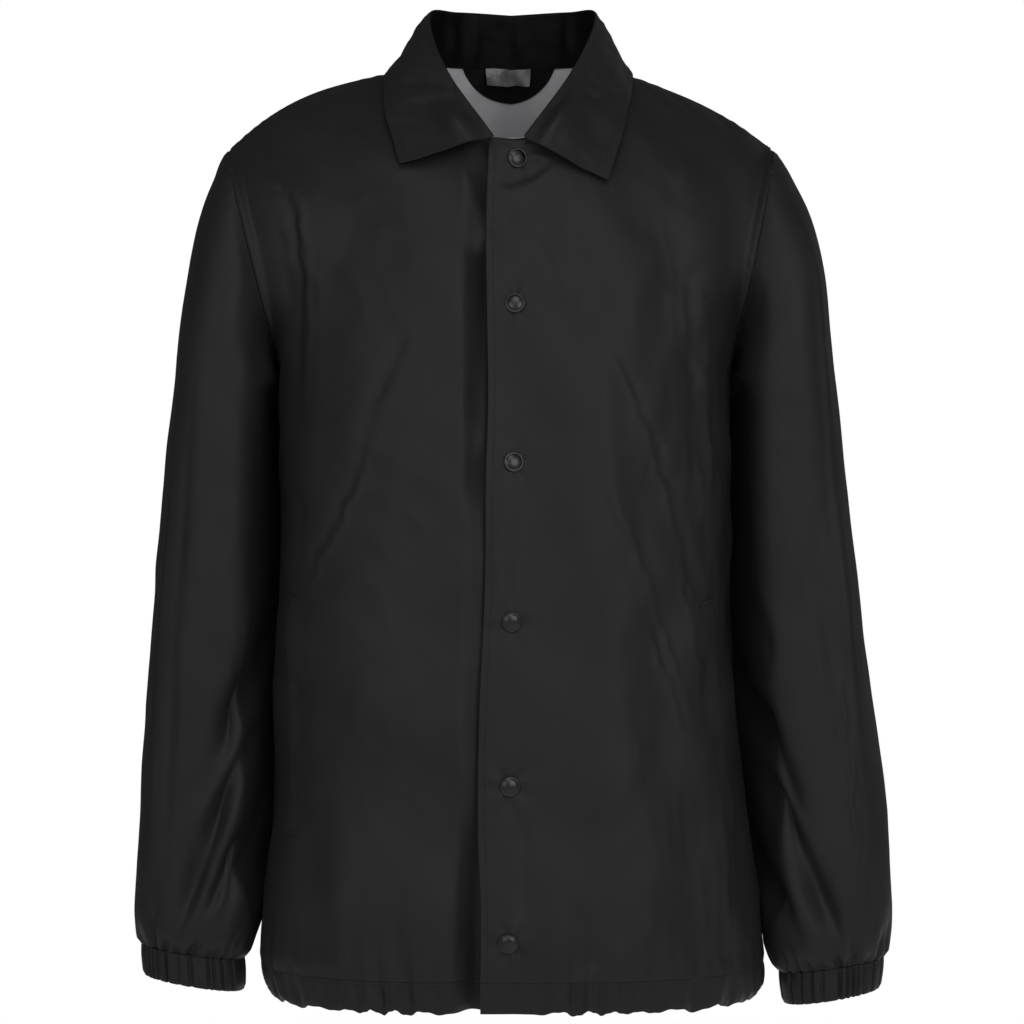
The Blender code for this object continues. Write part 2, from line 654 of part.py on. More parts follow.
def collar(body):
    """Stand and leaf in one sheet, from the neckline over the roll to the free edge."""
    right = collar_half(RIGHT)
    left = collar_half(LEFT)
    seam, roll, edge = (np.concatenate([r, l[::-1][1:]]) for r, l in zip(right, left))
    seam = seam + unit(roll - seam) * COLLAR_GAP
    up = unit(roll - (seam + edge) / 2)
    out = edge - seam
    out = unit(out - (out * up).sum(axis=1, keepdims=True) * up)
    stand = [seam + (roll - seam) * share for share in STAND_SHARES]
    over = []
    for degrees in ROLL_TURNS:
        turn = math.radians(degrees)
        over.append(roll + ROLL_RADIUS * (-math.cos(turn) * out + (math.sin(turn) - 1) * up))
    start = over[-1]
    control = (start + edge) / 2 + LEAF_BULGE * unit(out + up)
    leaf = np.array(
        [start * (1 - s) ** 2 + 2 * control * s * (1 - s) + edge * s**2 for s in LEAF_SHARES]
    )
    body_points = np.concatenate([sheet.points.reshape(-1, 3) for sheet in body])
    body_normals = np.concatenate([sheet.normals.reshape(-1, 3) for sheet in body])
    leaf = clear_of(leaf, body_points, body_normals, LEAF_CLEARANCE)
    points = np.concatenate([stand, over, leaf])
    return Sheet(points, grid_normals(points, 1), False)


def material(name, colour, roughness, metallic=0.0):
    """A plain surface for one kind of piece."""
    made = bpy.data.materials.new(name)
    made.use_nodes = True
    shader = made.node_tree.nodes["Principled BSDF"]
    shader.inputs["Base Color"].default_value = (*colour, 1.0)
    shader.inputs["Roughness"].default_value = roughness
    shader.inputs["Metallic"].default_value = metallic
    made.diffuse_color = (*colour, 1.0)
    return made


def add_object(name, vertices, faces, surface):
    """A named mesh object in the scene."""
    mesh = bpy.data.meshes.new(name)
    mesh.from_pydata([tuple(v) for v in vertices], [], faces)
    mesh.materials.append(surface)
    mesh.update()
    made = bpy.data.objects.new(name, mesh)
    bpy.context.scene.collection.objects.link(made)
    return made


def add_wall(name, sheets, wall, surface, closed=False):
    """Sheets joined where their points meet, given a wall inward from the face that shows."""
    index_of = {}
    outer = []
    inner = []
    faces = []
    for sheet in sheets:
        rows, columns = sheet.points.shape[:2]
        numbers = np.zeros((rows, columns), int)
        for i in range(rows):
            for j in range(columns):
                point = sheet.points[i, j]
                key = tuple(np.round(point, 7))
                if key not in index_of:
                    index_of[key] = len(outer)
                    outer.append(point)
                    inner.append(point - wall * sheet.normals[i, j])
                numbers[i, j] = index_of[key]
        for i in range(rows - 1):
            for j in range(columns if closed else columns - 1):
                k = (j + 1) % columns
                quad = (numbers[i, j], numbers[i, k], numbers[i + 1, k], numbers[i + 1, j])
                faces.append(quad[::-1] if sheet.flipped else quad)
    count = len(outer)
    edges = {(face[n], face[(n + 1) % 4]) for face in faces for n in range(4)}
    solid = list(faces)
    solid += [tuple(count + v for v in face[::-1]) for face in faces]
    solid += [(b, a, a + count, b + count) for a, b in sorted(edges) if (b, a) not in edges]
    solid = [tuple(int(v) for v in face) for face in solid]
    return add_object(name, outer + inner, solid, surface)


def on_sheet(sheet, x, z):
    """Point and facing of a sheet at a place of the front or back view."""
    points = sheet.points
    rows, columns = points.shape[:2]
    for i in range(rows - 1):
        for j in range(columns - 1):
            corners = points[i, j], points[i, j + 1], points[i + 1, j + 1], points[i + 1, j]
            for a, b, c in ((0, 1, 2), (0, 2, 3)):
                p, q, r = corners[a], corners[b], corners[c]
                base = np.array([[q[0] - p[0], r[0] - p[0]], [q[2] - p[2], r[2] - p[2]]])
                area = np.linalg.det(base)
                if abs(area) < SLIVER:
                    continue
                s, t = np.linalg.solve(base, np.array([x - p[0], z - p[2]]))
                if s >= -TOUCH and t >= -TOUCH and s + t <= 1 + TOUCH:
                    facing = np.cross(q - p, r - p)
                    if sheet.flipped:
                        facing = -facing
                    return p + s * (q - p) + t * (r - p), unit(facing)
    return None


def add_snap(name, sheet, x, z, surface):
    """A round cap with a low dome, just clear of the cloth under it."""
    place, facing = on_sheet(sheet, x, z)
    side_way = unit(np.cross((0, 0, 1), facing))
    up_way = np.cross(facing, side_way)
    highest = 0.0
    turns = np.linspace(0, 2 * np.pi, SNAP_SEGMENTS, endpoint=False)
    spokes = [math.cos(turn) * side_way + math.sin(turn) * up_way for turn in turns]
    for spoke in spokes:
        rim = place + SNAP_RADIUS * spoke
        found = on_sheet(sheet, rim[0], rim[2])
        if found:
            highest = max(highest, (found[0] - place) @ facing)
    base = place + facing * (highest + SEAM_GAP)
    vertices = [base]
    for radius_share, rise_share in SNAP_PROFILE:
        lift = base + SNAP_RISE * rise_share * facing
        vertices += [lift + SNAP_RADIUS * radius_share * spoke for spoke in spokes]
    vertices.append(base + SNAP_RISE * facing)
    faces = []
    top = len(vertices) - 1
    for step in range(SNAP_SEGMENTS):
        after = (step + 1) % SNAP_SEGMENTS
        faces.append((0, 1 + after, 1 + step))
        for level in range(len(SNAP_PROFILE) - 1):
            low = 1 + level * SNAP_SEGMENTS
            high = low + SNAP_SEGMENTS
            faces.append((low + step, low + after, high + after, high + step))
        last = 1 + (len(SNAP_PROFILE) - 1) * SNAP_SEGMENTS
        faces.append((last + step, last + after, top))
    return add_object(name, vertices, faces, surface)


def pocket_strip(sheet, side):
    """The stitched pocket edge: panel points between two columns, moved out."""
    middle = sheet.points[: LOWER_ROWS + 1]
    heights = middle[:, 0, 2]
    inside = (heights > POCKET_BOTTOM - POCKET_MARGIN) & (heights < POCKET_TOP + POCKET_MARGIN)
    rows = np.where(inside)[0]
    level = rows[len(rows) // 2]
    centres = (middle[level, :-1, 0] + middle[level, 1:, 0]) / 2
    pick = int(np.argmin(np.abs(side * centres - POCKET_X[side])))
    points = sheet.points[rows[0] : rows[-1] + 1, pick : pick + 2]
    normals = sheet.normals[rows[0] : rows[-1] + 1, pick : pick + 2]
    return Sheet(points + normals * (SEAM_GAP + STRIP_WALL), normals, sheet.flipped)


def inside_back(backs, x, z, depth):
    """A point inside the back cloth, a little way in from its wrong side."""
    place, facing = on_sheet(backs[LEFT if x >= 0 else RIGHT], x, z)
    return place - facing * (CLOTH + depth), -facing


def back_neck_top(backs, x):
    """Height of the back cloth's neck edge at a place across, with a small margin below it."""
    first = LOWER_ROWS + round(UPPER_ROWS * NECK_SHARE["back"])
    edge = backs[LEFT if x >= 0 else RIGHT].points[first:, 0]
    return np.interp(abs(x), np.abs(edge[:, 0]), edge[:, 2]) - BACK_NECK_MARGIN


def neck_patch(backs):
    """The half-moon patch under the back neck seam, made from points of the back cloth."""
    share = np.linspace(-1, 1, PATCH_COLUMNS + 1)
    rows = []
    normals = []
    for level in np.linspace(0, 1, PATCH_ROWS + 1):
        points = []
        facings = []
        for s in share:
            x = s * PATCH_HALF_WIDTH
            top = back_neck_top(backs, x)
            deep = PATCH_END_DEPTH + (PATCH_DEPTH - PATCH_END_DEPTH) * math.sqrt(1 - s * s)
            place, facing = inside_back(backs, x, top - level * deep, SEAM_GAP + STRIP_WALL)
            points.append(place)
            facings.append(facing)
        rows.append(points)
        normals.append(facings)
    return Sheet(np.array(rows), np.array(normals), True)


def neck_label(backs):
    """The blank label hanging from the back neck seam, clear of the patch."""
    rows = []
    normals = []
    for level in np.linspace(0, 1, LABEL_ROWS + 1):
        points = []
        facings = []
        for x in np.linspace(LABEL_LEFT, LABEL_RIGHT, LABEL_COLUMNS + 1):
            top = back_neck_top(backs, x)
            stack = SEAM_GAP * 3 + STRIP_WALL + LABEL_WALL + LABEL_HANG * level
            place, facing = inside_back(backs, x, top - level * LABEL_DEPTH, stack)
            points.append(place)
            facings.append(facing)
        rows.append(points)
        normals.append(facings)
    return Sheet(np.array(rows), np.array(normals), True)


for leftover in list(bpy.data.objects):
    bpy.data.objects.remove(leftover, do_unlink=True)

shell_black = material("shell_nylon", (0.020, 0.020, 0.021), 0.55)
casing_black = material("casing_nylon", (0.018, 0.018, 0.019), 0.60)
patch_black = material("patch_nylon", (0.022, 0.022, 0.023), 0.60)
label_grey = material("label_satin", (0.42, 0.42, 0.42), 0.45)
snap_metal = material("snap_metal", (0.060, 0.060, 0.062), 0.35, 1.0)

fronts = {s: panel(s, "front", FRONT_COLUMNS, LOWER_ROWS, UPPER_ROWS) for s in (RIGHT, LEFT)}
backs = {s: panel(s, "back", BACK_COLUMNS, LOWER_ROWS, UPPER_ROWS) for s in (RIGHT, LEFT)}
add_wall("front_right", [fronts[RIGHT]], CLOTH, shell_black)
add_wall("front_left", [fronts[LEFT]], CLOTH, shell_black)
add_wall("back", [backs[RIGHT], backs[LEFT]], CLOTH, shell_black)

for side, word in ((RIGHT, "right"), (LEFT, "left")):
    sleeve_sheet = sleeve(side, SLEEVE_COLUMNS, SLEEVE_ROWS)
    add_wall("sleeve_" + word, [sleeve_sheet], CLOTH, shell_black, closed=True)
    add_wall("cuff_" + word, [cuff(side)], CASING_WALL, casing_black, closed=True)
    hem_front = hem(side, "front", HEM_FRONT_GATHERS)
    add_wall("hem_front_" + word, [hem_front], CASING_WALL, casing_black)
    strip = pocket_strip(fronts[side], side)
    add_wall("pocket_edge_" + word, [strip], STRIP_WALL, shell_black)

hem_backs = [hem(side, "back", HEM_BACK_GATHERS // 2) for side in (RIGHT, LEFT)]
add_wall("hem_back", hem_backs, CASING_WALL, casing_black)

fine_body = [
    panel(side, face, FINE_COLUMNS, FINE_LOWER_ROWS, FINE_UPPER_ROWS)
    for side in (RIGHT, LEFT)
    for face in ("front", "back")
]
add_wall("collar", [collar(fine_body)], COLLAR_WALL, shell_black)

add_wall("neck_patch", [neck_patch(backs)], STRIP_WALL, patch_black)
add_wall("neck_label", [neck_label(backs)], LABEL_WALL, label_grey)

for number, snap_z in enumerate(SNAP_HEIGHTS):
    share = number / (len(SNAP_HEIGHTS) - 1)
    snap_x = SNAP_TOP_X + (SNAP_BOTTOM_X - SNAP_TOP_X) * share
    add_snap(f"snap_{number + 1}", fronts[LEFT], snap_x, snap_z, snap_metal)
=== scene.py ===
"""The looks of a thin black nylon windbreaker, filled out as when worn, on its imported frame.

Metres, +Z up, -Y the front, +X the wearer's left.
"""

import math
from collections import namedtuple

import bpy
import numpy as np
from mathutils.kdtree import KDTree
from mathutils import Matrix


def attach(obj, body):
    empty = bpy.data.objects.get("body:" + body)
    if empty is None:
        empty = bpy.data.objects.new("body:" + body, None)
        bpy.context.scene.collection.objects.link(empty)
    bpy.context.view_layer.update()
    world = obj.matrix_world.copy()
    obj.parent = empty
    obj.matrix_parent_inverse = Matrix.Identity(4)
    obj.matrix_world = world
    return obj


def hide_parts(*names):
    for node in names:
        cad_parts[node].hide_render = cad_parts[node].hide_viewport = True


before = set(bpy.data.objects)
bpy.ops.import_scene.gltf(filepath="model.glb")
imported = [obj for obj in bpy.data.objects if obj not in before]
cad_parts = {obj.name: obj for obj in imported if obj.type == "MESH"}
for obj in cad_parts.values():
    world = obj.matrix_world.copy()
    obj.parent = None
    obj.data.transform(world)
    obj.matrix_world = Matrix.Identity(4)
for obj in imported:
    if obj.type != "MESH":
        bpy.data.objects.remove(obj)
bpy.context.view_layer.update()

# The camera stands square to the front, level with the middle of the garment and well back from it.
# Its lens shows 0.79 mm of the garment in each of the picture's 1024 points across.
PICTURE_POINTS = 1024
POINT_SIZE = 0.00079
CAMERA_AWAY = 2.55
CAMERA_X = 0.0008
CAMERA_Z = -0.3523
SENSOR_MM = 36.0

front_lens = bpy.data.cameras.new("front_camera")
front_lens.sensor_width = SENSOR_MM
front_lens.lens = SENSOR_MM * CAMERA_AWAY / (POINT_SIZE * PICTURE_POINTS)
front_camera = bpy.data.objects.new("front_camera", front_lens)
front_camera.location = (CAMERA_X, -CAMERA_AWAY, CAMERA_Z)
front_camera.rotation_euler = (math.radians(90), 0, 0)
bpy.context.scene.collection.objects.link(front_camera)
bpy.context.scene.camera = front_camera

# The two fronts are cut from thin plain-woven nylon, dull black outside and coated grey inside.
# The wearer's left front laps over the right one. Both hang from the shoulder and armhole seams,
# and the cloth falls in long soft creases from the chest to the sides.
RIGHT = -1
LEFT = 1
WORD = {RIGHT: "right", LEFT: "left"}
CLOTH = 0.0009
SEAM_GAP = 0.0003
CASING_TOP = -0.703
UNDERARM = -0.243
CENTRE_AT_UNDERARM = -0.278
SIDE_SEAM_Y = 0.004
BODY_ROUNDNESS = 2.8
SIDE_TURN = 90.0
SHOULDER_TURN = 20.0
SIDE_DIP = 3.0
LAP_TOP = 0.017
LAP_BOTTOM = 0.024
NECK_HALF_WIDTH = 0.079
NECK_HALF_DEPTH = 0.078
NECK_MIDDLE_Y = -0.014
NECK_FRONT_DROP = -0.0685
NECK_DROP_POWER = 2.6
NECK_BACK_RISE = 0.010
NECK_BLEND_FROM = -0.160
SHOULDER_ANGLE = 100.0
SHOULDER_X = {RIGHT: 0.2240, LEFT: 0.2075}
SHOULDER_Z = {RIGHT: -0.0664, LEFT: -0.0660}
SHOULDER_BOW = {RIGHT: 0.0165, LEFT: 0.0090}
BOW_LEAN = 1.35
BOW_FULLNESS = 0.8
ARMHOLE_FRONT = 0.074
ARMHOLE_BACK = 0.080
SLEEVE_ROUNDNESS = 2.15
MITRE_LEAN = 0.6
CURVE_STEPS = 400
LOWER_ROWS = 150
UPPER_ROWS = 95
NECK_ROW = {"front": LOWER_ROWS + 57, "back": LOWER_ROWS + 66}

Side = namedtuple("Side", "height right left")
SIDES = (
    Side(-0.727, 0.1895, 0.1945),
    Side(-0.703, 0.1955, 0.1970),
    Side(-0.651, 0.1930, 0.1925),
    Side(-0.592, 0.1880, 0.1850),
    Side(-0.423, 0.1830, 0.1725),
    Side(-0.243, 0.1810, 0.1730),
)
Centre = namedtuple("Centre", "height front back")
CENTRES = (
    Centre(-0.727, 0.144, 0.136),
    Centre(-0.703, 0.147, 0.139),
    Centre(-0.592, 0.145, 0.135),
    Centre(-0.423, 0.139, 0.127),
    Centre(-0.278, 0.132, 0.130),
    Centre(-0.150, 0.117, 0.124),
    Centre(-0.072, 0.092, 0.106),
    Centre(-0.020, 0.076, 0.084),
    Centre(0.010, 0.064, 0.064),
)
Sheet = namedtuple("Sheet", "points normals flipped")


def unit(vectors):
    """The same directions at length one."""
    return vectors / np.linalg.norm(vectors, axis=-1, keepdims=True)


def column(table, name):
    """One named column of a table."""
    return np.array([getattr(row, name) for row in table], float)


def spline(knots, values, at):
    """A smooth curve through the values at the rising knots."""
    knots = np.asarray(knots, float)
    values = np.asarray(values, float)
    at = np.clip(np.asarray(at, float), knots[0], knots[-1])
    slopes = np.gradient(values, knots)
    low = np.clip(np.searchsorted(knots, at, side="right") - 1, 0, len(knots) - 2)
    span = knots[low + 1] - knots[low]
    t = (at - knots[low]) / span
    start = values[low] * (1 + 2 * t) * (1 - t) ** 2 + slopes[low] * span * t * (1 - t) ** 2
    end = values[low + 1] * t**2 * (3 - 2 * t) + slopes[low + 1] * span * t**2 * (t - 1)
    return start + end


def smooth_step(low, high, value):
    """Zero below low, one above high, with a soft start and end."""
    t = np.clip((value - low) / (high - low), 0, 1)
    return t * t * (3 - 2 * t)


def cut_even(points, count):
    """The polyline cut into count pieces of equal length."""
    run = np.concatenate([[0], np.cumsum(np.linalg.norm(np.diff(points, axis=0), axis=1))])
    at = np.linspace(0, run[-1], count + 1)
    return np.stack([np.interp(at, run, points[:, axis]) for axis in range(3)], axis=1)


def signed_power(value, exponent):
    """A power that keeps the sign."""
    return np.sign(value) * np.abs(value) ** exponent


def half_width(side, height):
    """From the middle of the body to the side seam."""
    return spline(column(SIDES, "height"), column(SIDES, WORD[side]), height)


def centre_depth(face, height):
    """From the middle of the body to the centre front or centre back."""
    return spline(column(CENTRES, "height"), column(CENTRES, face), height)


def neckline(side, angle):
    """A point of the neck seam, at an angle from the centre front."""
    turn = np.radians(angle)
    x = side * NECK_HALF_WIDTH * np.sin(turn)
    y = NECK_MIDDLE_Y - NECK_HALF_DEPTH * np.cos(turn)
    drop = NECK_FRONT_DROP * ((1 + np.cos(turn)) / 2) ** NECK_DROP_POWER
    return np.stack([x, y, drop + NECK_BACK_RISE * (1 - np.cos(turn)) / 2], axis=-1)


def sleeve_ring(inner, outer, front, back, middle, turn):
    """Points of one sleeve section. Turn is in degrees: 0 outside, 90 front, 180 inside."""
    angle = np.radians(turn)
    across = signed_power(np.cos(angle), 2 / SLEEVE_ROUNDNESS)
    forward = signed_power(np.sin(angle), 2 / SLEEVE_ROUNDNESS)
    centre = (inner + outer) / 2
    half = (outer - inner) / 2
    depth = np.where(forward > 0, front, back)
    x = centre[0] + half[0] * across
    z = centre[1] + half[1] * across
    return np.stack([x, middle - depth * forward, z], axis=-1)


def armhole(side, turn):
    """Points of the armhole, from the shoulder point at 0 round to the underarm at 180."""
    inner = np.array([side * half_width(side, UNDERARM), UNDERARM])
    outer = np.array([side * SHOULDER_X[side], SHOULDER_Z[side]])
    return sleeve_ring(inner, outer, ARMHOLE_FRONT, ARMHOLE_BACK, SIDE_SEAM_Y, turn)


def armhole_turns(side, face, count):
    """Turns from the underarm up to the shoulder that divide the armhole evenly."""
    sweep = np.linspace(180, 0 if face == "front" else 360, CURVE_STEPS)
    points = armhole(side, sweep)
    run = np.concatenate([[0], np.cumsum(np.linalg.norm(np.diff(points, axis=0), axis=1))])
    return np.interp(np.linspace(0, run[-1], count + 1), run, sweep)


def armhole_normals(side, turn):
    """Half way between the facing of the body and of the sleeve, so their edges meet as a mitre."""
    centre = armhole(side, np.array([0.0, 180.0])).mean(axis=0)
    return unit(unit(armhole(side, turn) - centre) + MITRE_LEAN * np.array([side, 0, 0]))


def shoulder_seam(side, count):
    """From the neck point to the shoulder point, bowed up."""
    start = neckline(side, np.array(SHOULDER_ANGLE))
    end = armhole(side, np.array(0.0))
    share = np.linspace(0, 1, count + 1)[:, None]
    points = start + (end - start) * share
    points[:, 2] += SHOULDER_BOW[side] * np.sin(np.pi * share[:, 0] ** BOW_LEAN) ** BOW_FULLNESS
    return points


def lap_edge(side, height):
    """Where the front edge of a panel runs, past the middle."""
    share = np.clip((height - CASING_TOP) / -CASING_TOP, 0, 1)
    return -side * (LAP_BOTTOM + (LAP_TOP - LAP_BOTTOM) * share)


def middle_line(side, face, heights):
    """The centre front edge or the centre back, at the given heights."""
    if face == "front":
        return np.stack([lap_edge(side, heights), -centre_depth("front", heights), heights], axis=-1)
    return np.stack([np.zeros_like(heights), centre_depth("back", heights), heights], axis=-1)


def upper_middle(side, face):
    """From the middle at underarm level up to the neck, then along the neckline to the shoulder."""
    start = 180
    if face == "front":
        start = -math.degrees(math.asin(LAP_TOP / NECK_HALF_WIDTH))
    neck = neckline(side, np.linspace(start, SHOULDER_ANGLE, CURVE_STEPS))
    top = neck[0, 2]
    line = middle_line(side, face, np.linspace(CENTRE_AT_UNDERARM, top, CURVE_STEPS))
    line[:, 1] += (neck[0, 1] - line[-1, 1]) * smooth_step(NECK_BLEND_FROM, top, line[:, 2])
    below = NECK_ROW[face] - LOWER_ROWS
    return np.concatenate([cut_even(line, below)[:-1], cut_even(neck, UPPER_ROWS - below)])


def cross_row(side, middle, outer, turn, exponent, dip, count):
    """One row of a panel, from its middle edge round to its side or armhole edge."""
    centre = middle.copy()
    centre[0] = side * max(0, side * middle[0])
    angle = np.linspace(0, math.radians(turn), CURVE_STEPS)
    across = np.sin(angle) ** exponent / math.sin(math.radians(turn)) ** exponent
    deep = 1 - np.clip(np.cos(angle), 0, 1) ** exponent
    points = centre + (outer - centre) * np.stack([across, deep / deep[-1], across**dip], axis=1)
    if centre[0] != middle[0]:
        points = np.concatenate([middle[None], points])
    return cut_even(points, count)


EASE_ROUNDS = 500
EASE_ROWS = 50


def eased_bend(points, bend_row):
    """The panel with the bend from the chest to the shoulder drawn out into a soft curve."""
    rows, columns = points.shape[:2]
    near = smooth_step(EASE_ROWS, EASE_ROWS * 0.4, np.abs(np.arange(rows) - bend_row))
    inside = np.linspace(0, 1, columns)
    inside = smooth_step(0, 0.12, inside) * smooth_step(0, 0.06, 1 - inside)
    ease = 0.5 * near[1:-1, None, None] * inside[None, :, None]
    for _ in range(EASE_ROUNDS):
        points[1:-1] += ease * ((points[:-2] + points[2:]) / 2 - points[1:-1])
    return points


def body_panel(side, face, columns):
    """Half of the body cloth on one face, without creases: its points, and the armhole's turns."""
    share = np.linspace(0, 1, LOWER_ROWS + 1)
    side_heights = CASING_TOP + (UNDERARM - CASING_TOP) * share
    middles = middle_line(side, face, CASING_TOP + (CENTRE_AT_UNDERARM - CASING_TOP) * share)
    round_off = 2 / BODY_ROUNDNESS
    rows = []
    for middle, height in zip(middles, side_heights):
        outer = np.array([side * half_width(side, height), SIDE_SEAM_Y, height])
        rows.append(cross_row(side, middle, outer, SIDE_TURN, round_off, SIDE_DIP, columns))
    turns = armhole_turns(side, face, UPPER_ROWS)
    outers = armhole(side, turns)
    uppers = upper_middle(side, face)
    for step in range(1, UPPER_ROWS):
        up = step / UPPER_ROWS
        exponent = round_off + (1 - round_off) * up
        depth = (outers[step][1] - SIDE_SEAM_Y) / (uppers[step][1] - SIDE_SEAM_Y)
        turn = math.degrees(math.acos(min(max(depth, 0), 1) ** (1 / exponent)))
        turn = max(turn, SHOULDER_TURN)
        dip = SIDE_DIP + (1 - SIDE_DIP) * up
        rows.append(cross_row(side, uppers[step], outers[step], turn, exponent, dip, columns))
    rows.append(shoulder_seam(side, columns))
    return eased_bend(np.array(rows), NECK_ROW[face]), turns


def grid_normals(points, facing):
    """Facing of a grid of points, from its neighbours in each row and column."""
    return unit(facing * np.cross(np.gradient(points, axis=1), np.gradient(points, axis=0)))


def panel_normals(points, side, face, turns):
    """Facing of a panel. Along its seams it is shared with the next piece, so the two meet as a mitre."""
    normals = grid_normals(points, side if face == "front" else -side)
    run = np.gradient(points[-1], axis=0)
    normals[-1] = unit(side * np.stack([-run[:, 2], np.zeros(len(run)), run[:, 0]], axis=1))
    normals[: LOWER_ROWS + 1, -1] = (side, 0, 0)
    normals[LOWER_ROWS:, -1] = armhole_normals(side, turns)
    if face == "back":
        rise = np.gradient(points[:, 0], axis=0)[: NECK_ROW["back"] + 1]
        normals[: len(rise), 0] = unit(np.stack([np.zeros(len(rise)), rise[:, 2], -rise[:, 1]], axis=1))
    return normals


# A crease runs from one place of a view through a bend to another. A ridge rises and a trough is
# below zero. Lean makes the side on the left of its run narrower and the other side softer.
Crease = namedtuple("Crease", "side from_x from_z bend_x bend_z to_x to_z width rise lean")
FRONT_CREASES = (
    Crease(RIGHT, -0.182, -0.104, -0.164, -0.140, -0.1635, -0.262, 0.0040, -0.0028, 0.3),
    Crease(RIGHT, -0.174, -0.106, -0.157, -0.142, -0.156, -0.290, 0.0040, 0.0020, 0.0),
    Crease(RIGHT, -0.180, -0.125, -0.172, -0.165, -0.170, -0.215, 0.0060, -0.0016, 0.0),
    Crease(RIGHT, -0.079, -0.215, -0.095, -0.252, -0.114, -0.300, 0.0070, -0.0022, 0.2),
    Crease(RIGHT, -0.098, -0.290, -0.124, -0.352, -0.158, -0.416, 0.0026, 0.0014, 0.0),
    Crease(RIGHT, -0.104, -0.285, -0.131, -0.350, -0.161, -0.405, 0.0042, -0.0014, 0.0),
    Crease(RIGHT, -0.066, -0.240, -0.088, -0.330, -0.121, -0.425, 0.0120, 0.0012, 0.0),
    Crease(RIGHT, -0.150, -0.160, -0.148, -0.235, -0.152, -0.330, 0.0080, 0.0016, 0.0),
    Crease(RIGHT, -0.157, -0.565, -0.150, -0.640, -0.153, -0.715, 0.0130, -0.0034, 0.0),
    Crease(RIGHT, -0.132, -0.550, -0.127, -0.630, -0.131, -0.715, 0.0120, 0.0022, 0.0),
    Crease(RIGHT, -0.083, -0.630, -0.086, -0.672, -0.084, -0.715, 0.0060, -0.0022, 0.0),
    Crease(RIGHT, -0.047, -0.078, -0.031, -0.105, -0.019, -0.134, 0.0060, 0.0020, 0.2),
    Crease(RIGHT, -0.062, -0.455, -0.070, -0.530, -0.088, -0.610, 0.0180, -0.0014, 0.0),
    Crease(RIGHT, -0.118, -0.420, -0.112, -0.490, -0.116, -0.560, 0.0130, 0.0012, 0.0),
    Crease(RIGHT, -0.166, -0.330, -0.162, -0.360, -0.164, -0.395, 0.0035, -0.0012, 0.0),
    Crease(RIGHT, -0.168, -0.470, -0.164, -0.500, -0.167, -0.540, 0.0040, -0.0012, 0.0),
    Crease(LEFT, 0.075, -0.229, 0.1136, -0.3295, 0.1365, -0.422, 0.0024, 0.0014, 0.0),
    Crease(LEFT, 0.082, -0.232, 0.1205, -0.3300, 0.1425, -0.418, 0.0040, -0.0013, 0.0),
    Crease(LEFT, 0.071, -0.330, 0.1070, -0.4180, 0.1445, -0.537, 0.0024, 0.0014, 0.0),
    Crease(LEFT, 0.066, -0.338, 0.1010, -0.4230, 0.1400, -0.540, 0.0042, -0.0013, 0.0),
    Crease(LEFT, 0.096, -0.410, 0.1150, -0.4700, 0.1410, -0.545, 0.0024, 0.0012, 0.0),
    Crease(LEFT, 0.122, -0.372, 0.1340, -0.4300, 0.1480, -0.525, 0.0026, 0.0013, 0.0),
    Crease(LEFT, 0.071, -0.218, 0.079, -0.335, 0.108, -0.432, 0.0090, 0.0016, -0.3),
    Crease(LEFT, 0.090, -0.385, 0.121, -0.480, 0.148, -0.560, 0.0090, 0.0018, -0.3),
    Crease(LEFT, 0.058, -0.240, 0.065, -0.350, 0.092, -0.445, 0.0110, -0.0014, 0.0),
    Crease(LEFT, 0.091, -0.330, 0.109, -0.420, 0.138, -0.505, 0.0090, -0.0014, 0.0),
    Crease(LEFT, 0.135, -0.175, 0.139, -0.250, 0.141, -0.335, 0.0040, -0.0016, 0.0),
    Crease(LEFT, 0.146, -0.190, 0.149, -0.262, 0.150, -0.340, 0.0040, 0.0014, 0.0),
    Crease(LEFT, 0.151, -0.630, 0.160, -0.672, 0.172, -0.715, 0.0100, -0.0030, 0.0),
    Crease(LEFT, 0.168, -0.150, 0.138, -0.172, 0.102, -0.196, 0.0090, -0.0018, 0.0),
    Crease(LEFT, 0.168, -0.178, 0.140, -0.205, 0.113, -0.248, 0.0100, 0.0016, 0.0),
    Crease(LEFT, 0.156, -0.560, 0.160, -0.600, 0.163, -0.650, 0.0040, 0.0014, 0.0),
    Crease(LEFT, 0.004, -0.568, 0.011, -0.630, 0.007, -0.698, 0.0060, -0.0020, 0.0),
    Crease(LEFT, 0.003, -0.678, 0.006, -0.692, 0.010, -0.708, 0.0024, -0.0018, 0.0),
    Crease(LEFT, 0.036, -0.630, 0.052, -0.668, 0.048, -0.712, 0.0100, -0.0020, 0.0),
    Crease(LEFT, -0.010, -0.100, 0.010, -0.098, 0.030, -0.088, 0.0036, -0.0032, 0.0),
    Crease(LEFT, -0.0105, -0.0760, -0.0085, -0.0830, -0.0090, -0.0930, 0.0026, 0.0020, 0.0),
    Crease(LEFT, -0.0060, -0.0775, -0.0050, -0.0840, -0.0060, -0.0960, 0.0026, -0.0022, 0.0),
    Crease(LEFT, 0.0140, -0.0790, 0.0200, -0.0835, 0.0280, -0.0850, 0.0026, 0.0020, 0.0),
    Crease(LEFT, 0.0145, -0.0860, 0.0200, -0.0895, 0.0300, -0.0905, 0.0028, -0.0020, 0.0),
    Crease(LEFT, -0.006, -0.112, 0.010, -0.106, 0.024, -0.098, 0.0040, 0.0014, 0.0),
    Crease(LEFT, 0.100, -0.560, 0.108, -0.630, 0.104, -0.700, 0.0160, 0.0018, 0.0),
)
CREASE_PIECES = 24
FINE_WIDTH = 0.003
MIDDLE_WIDTH = 0.007
BROAD_WIDTH = 0.014
CREASE_TAPER = 0.6
BROAD_TAPER = 1.5
CREASE_WANDER = 0.0011
CREASE_STEP = 0.011


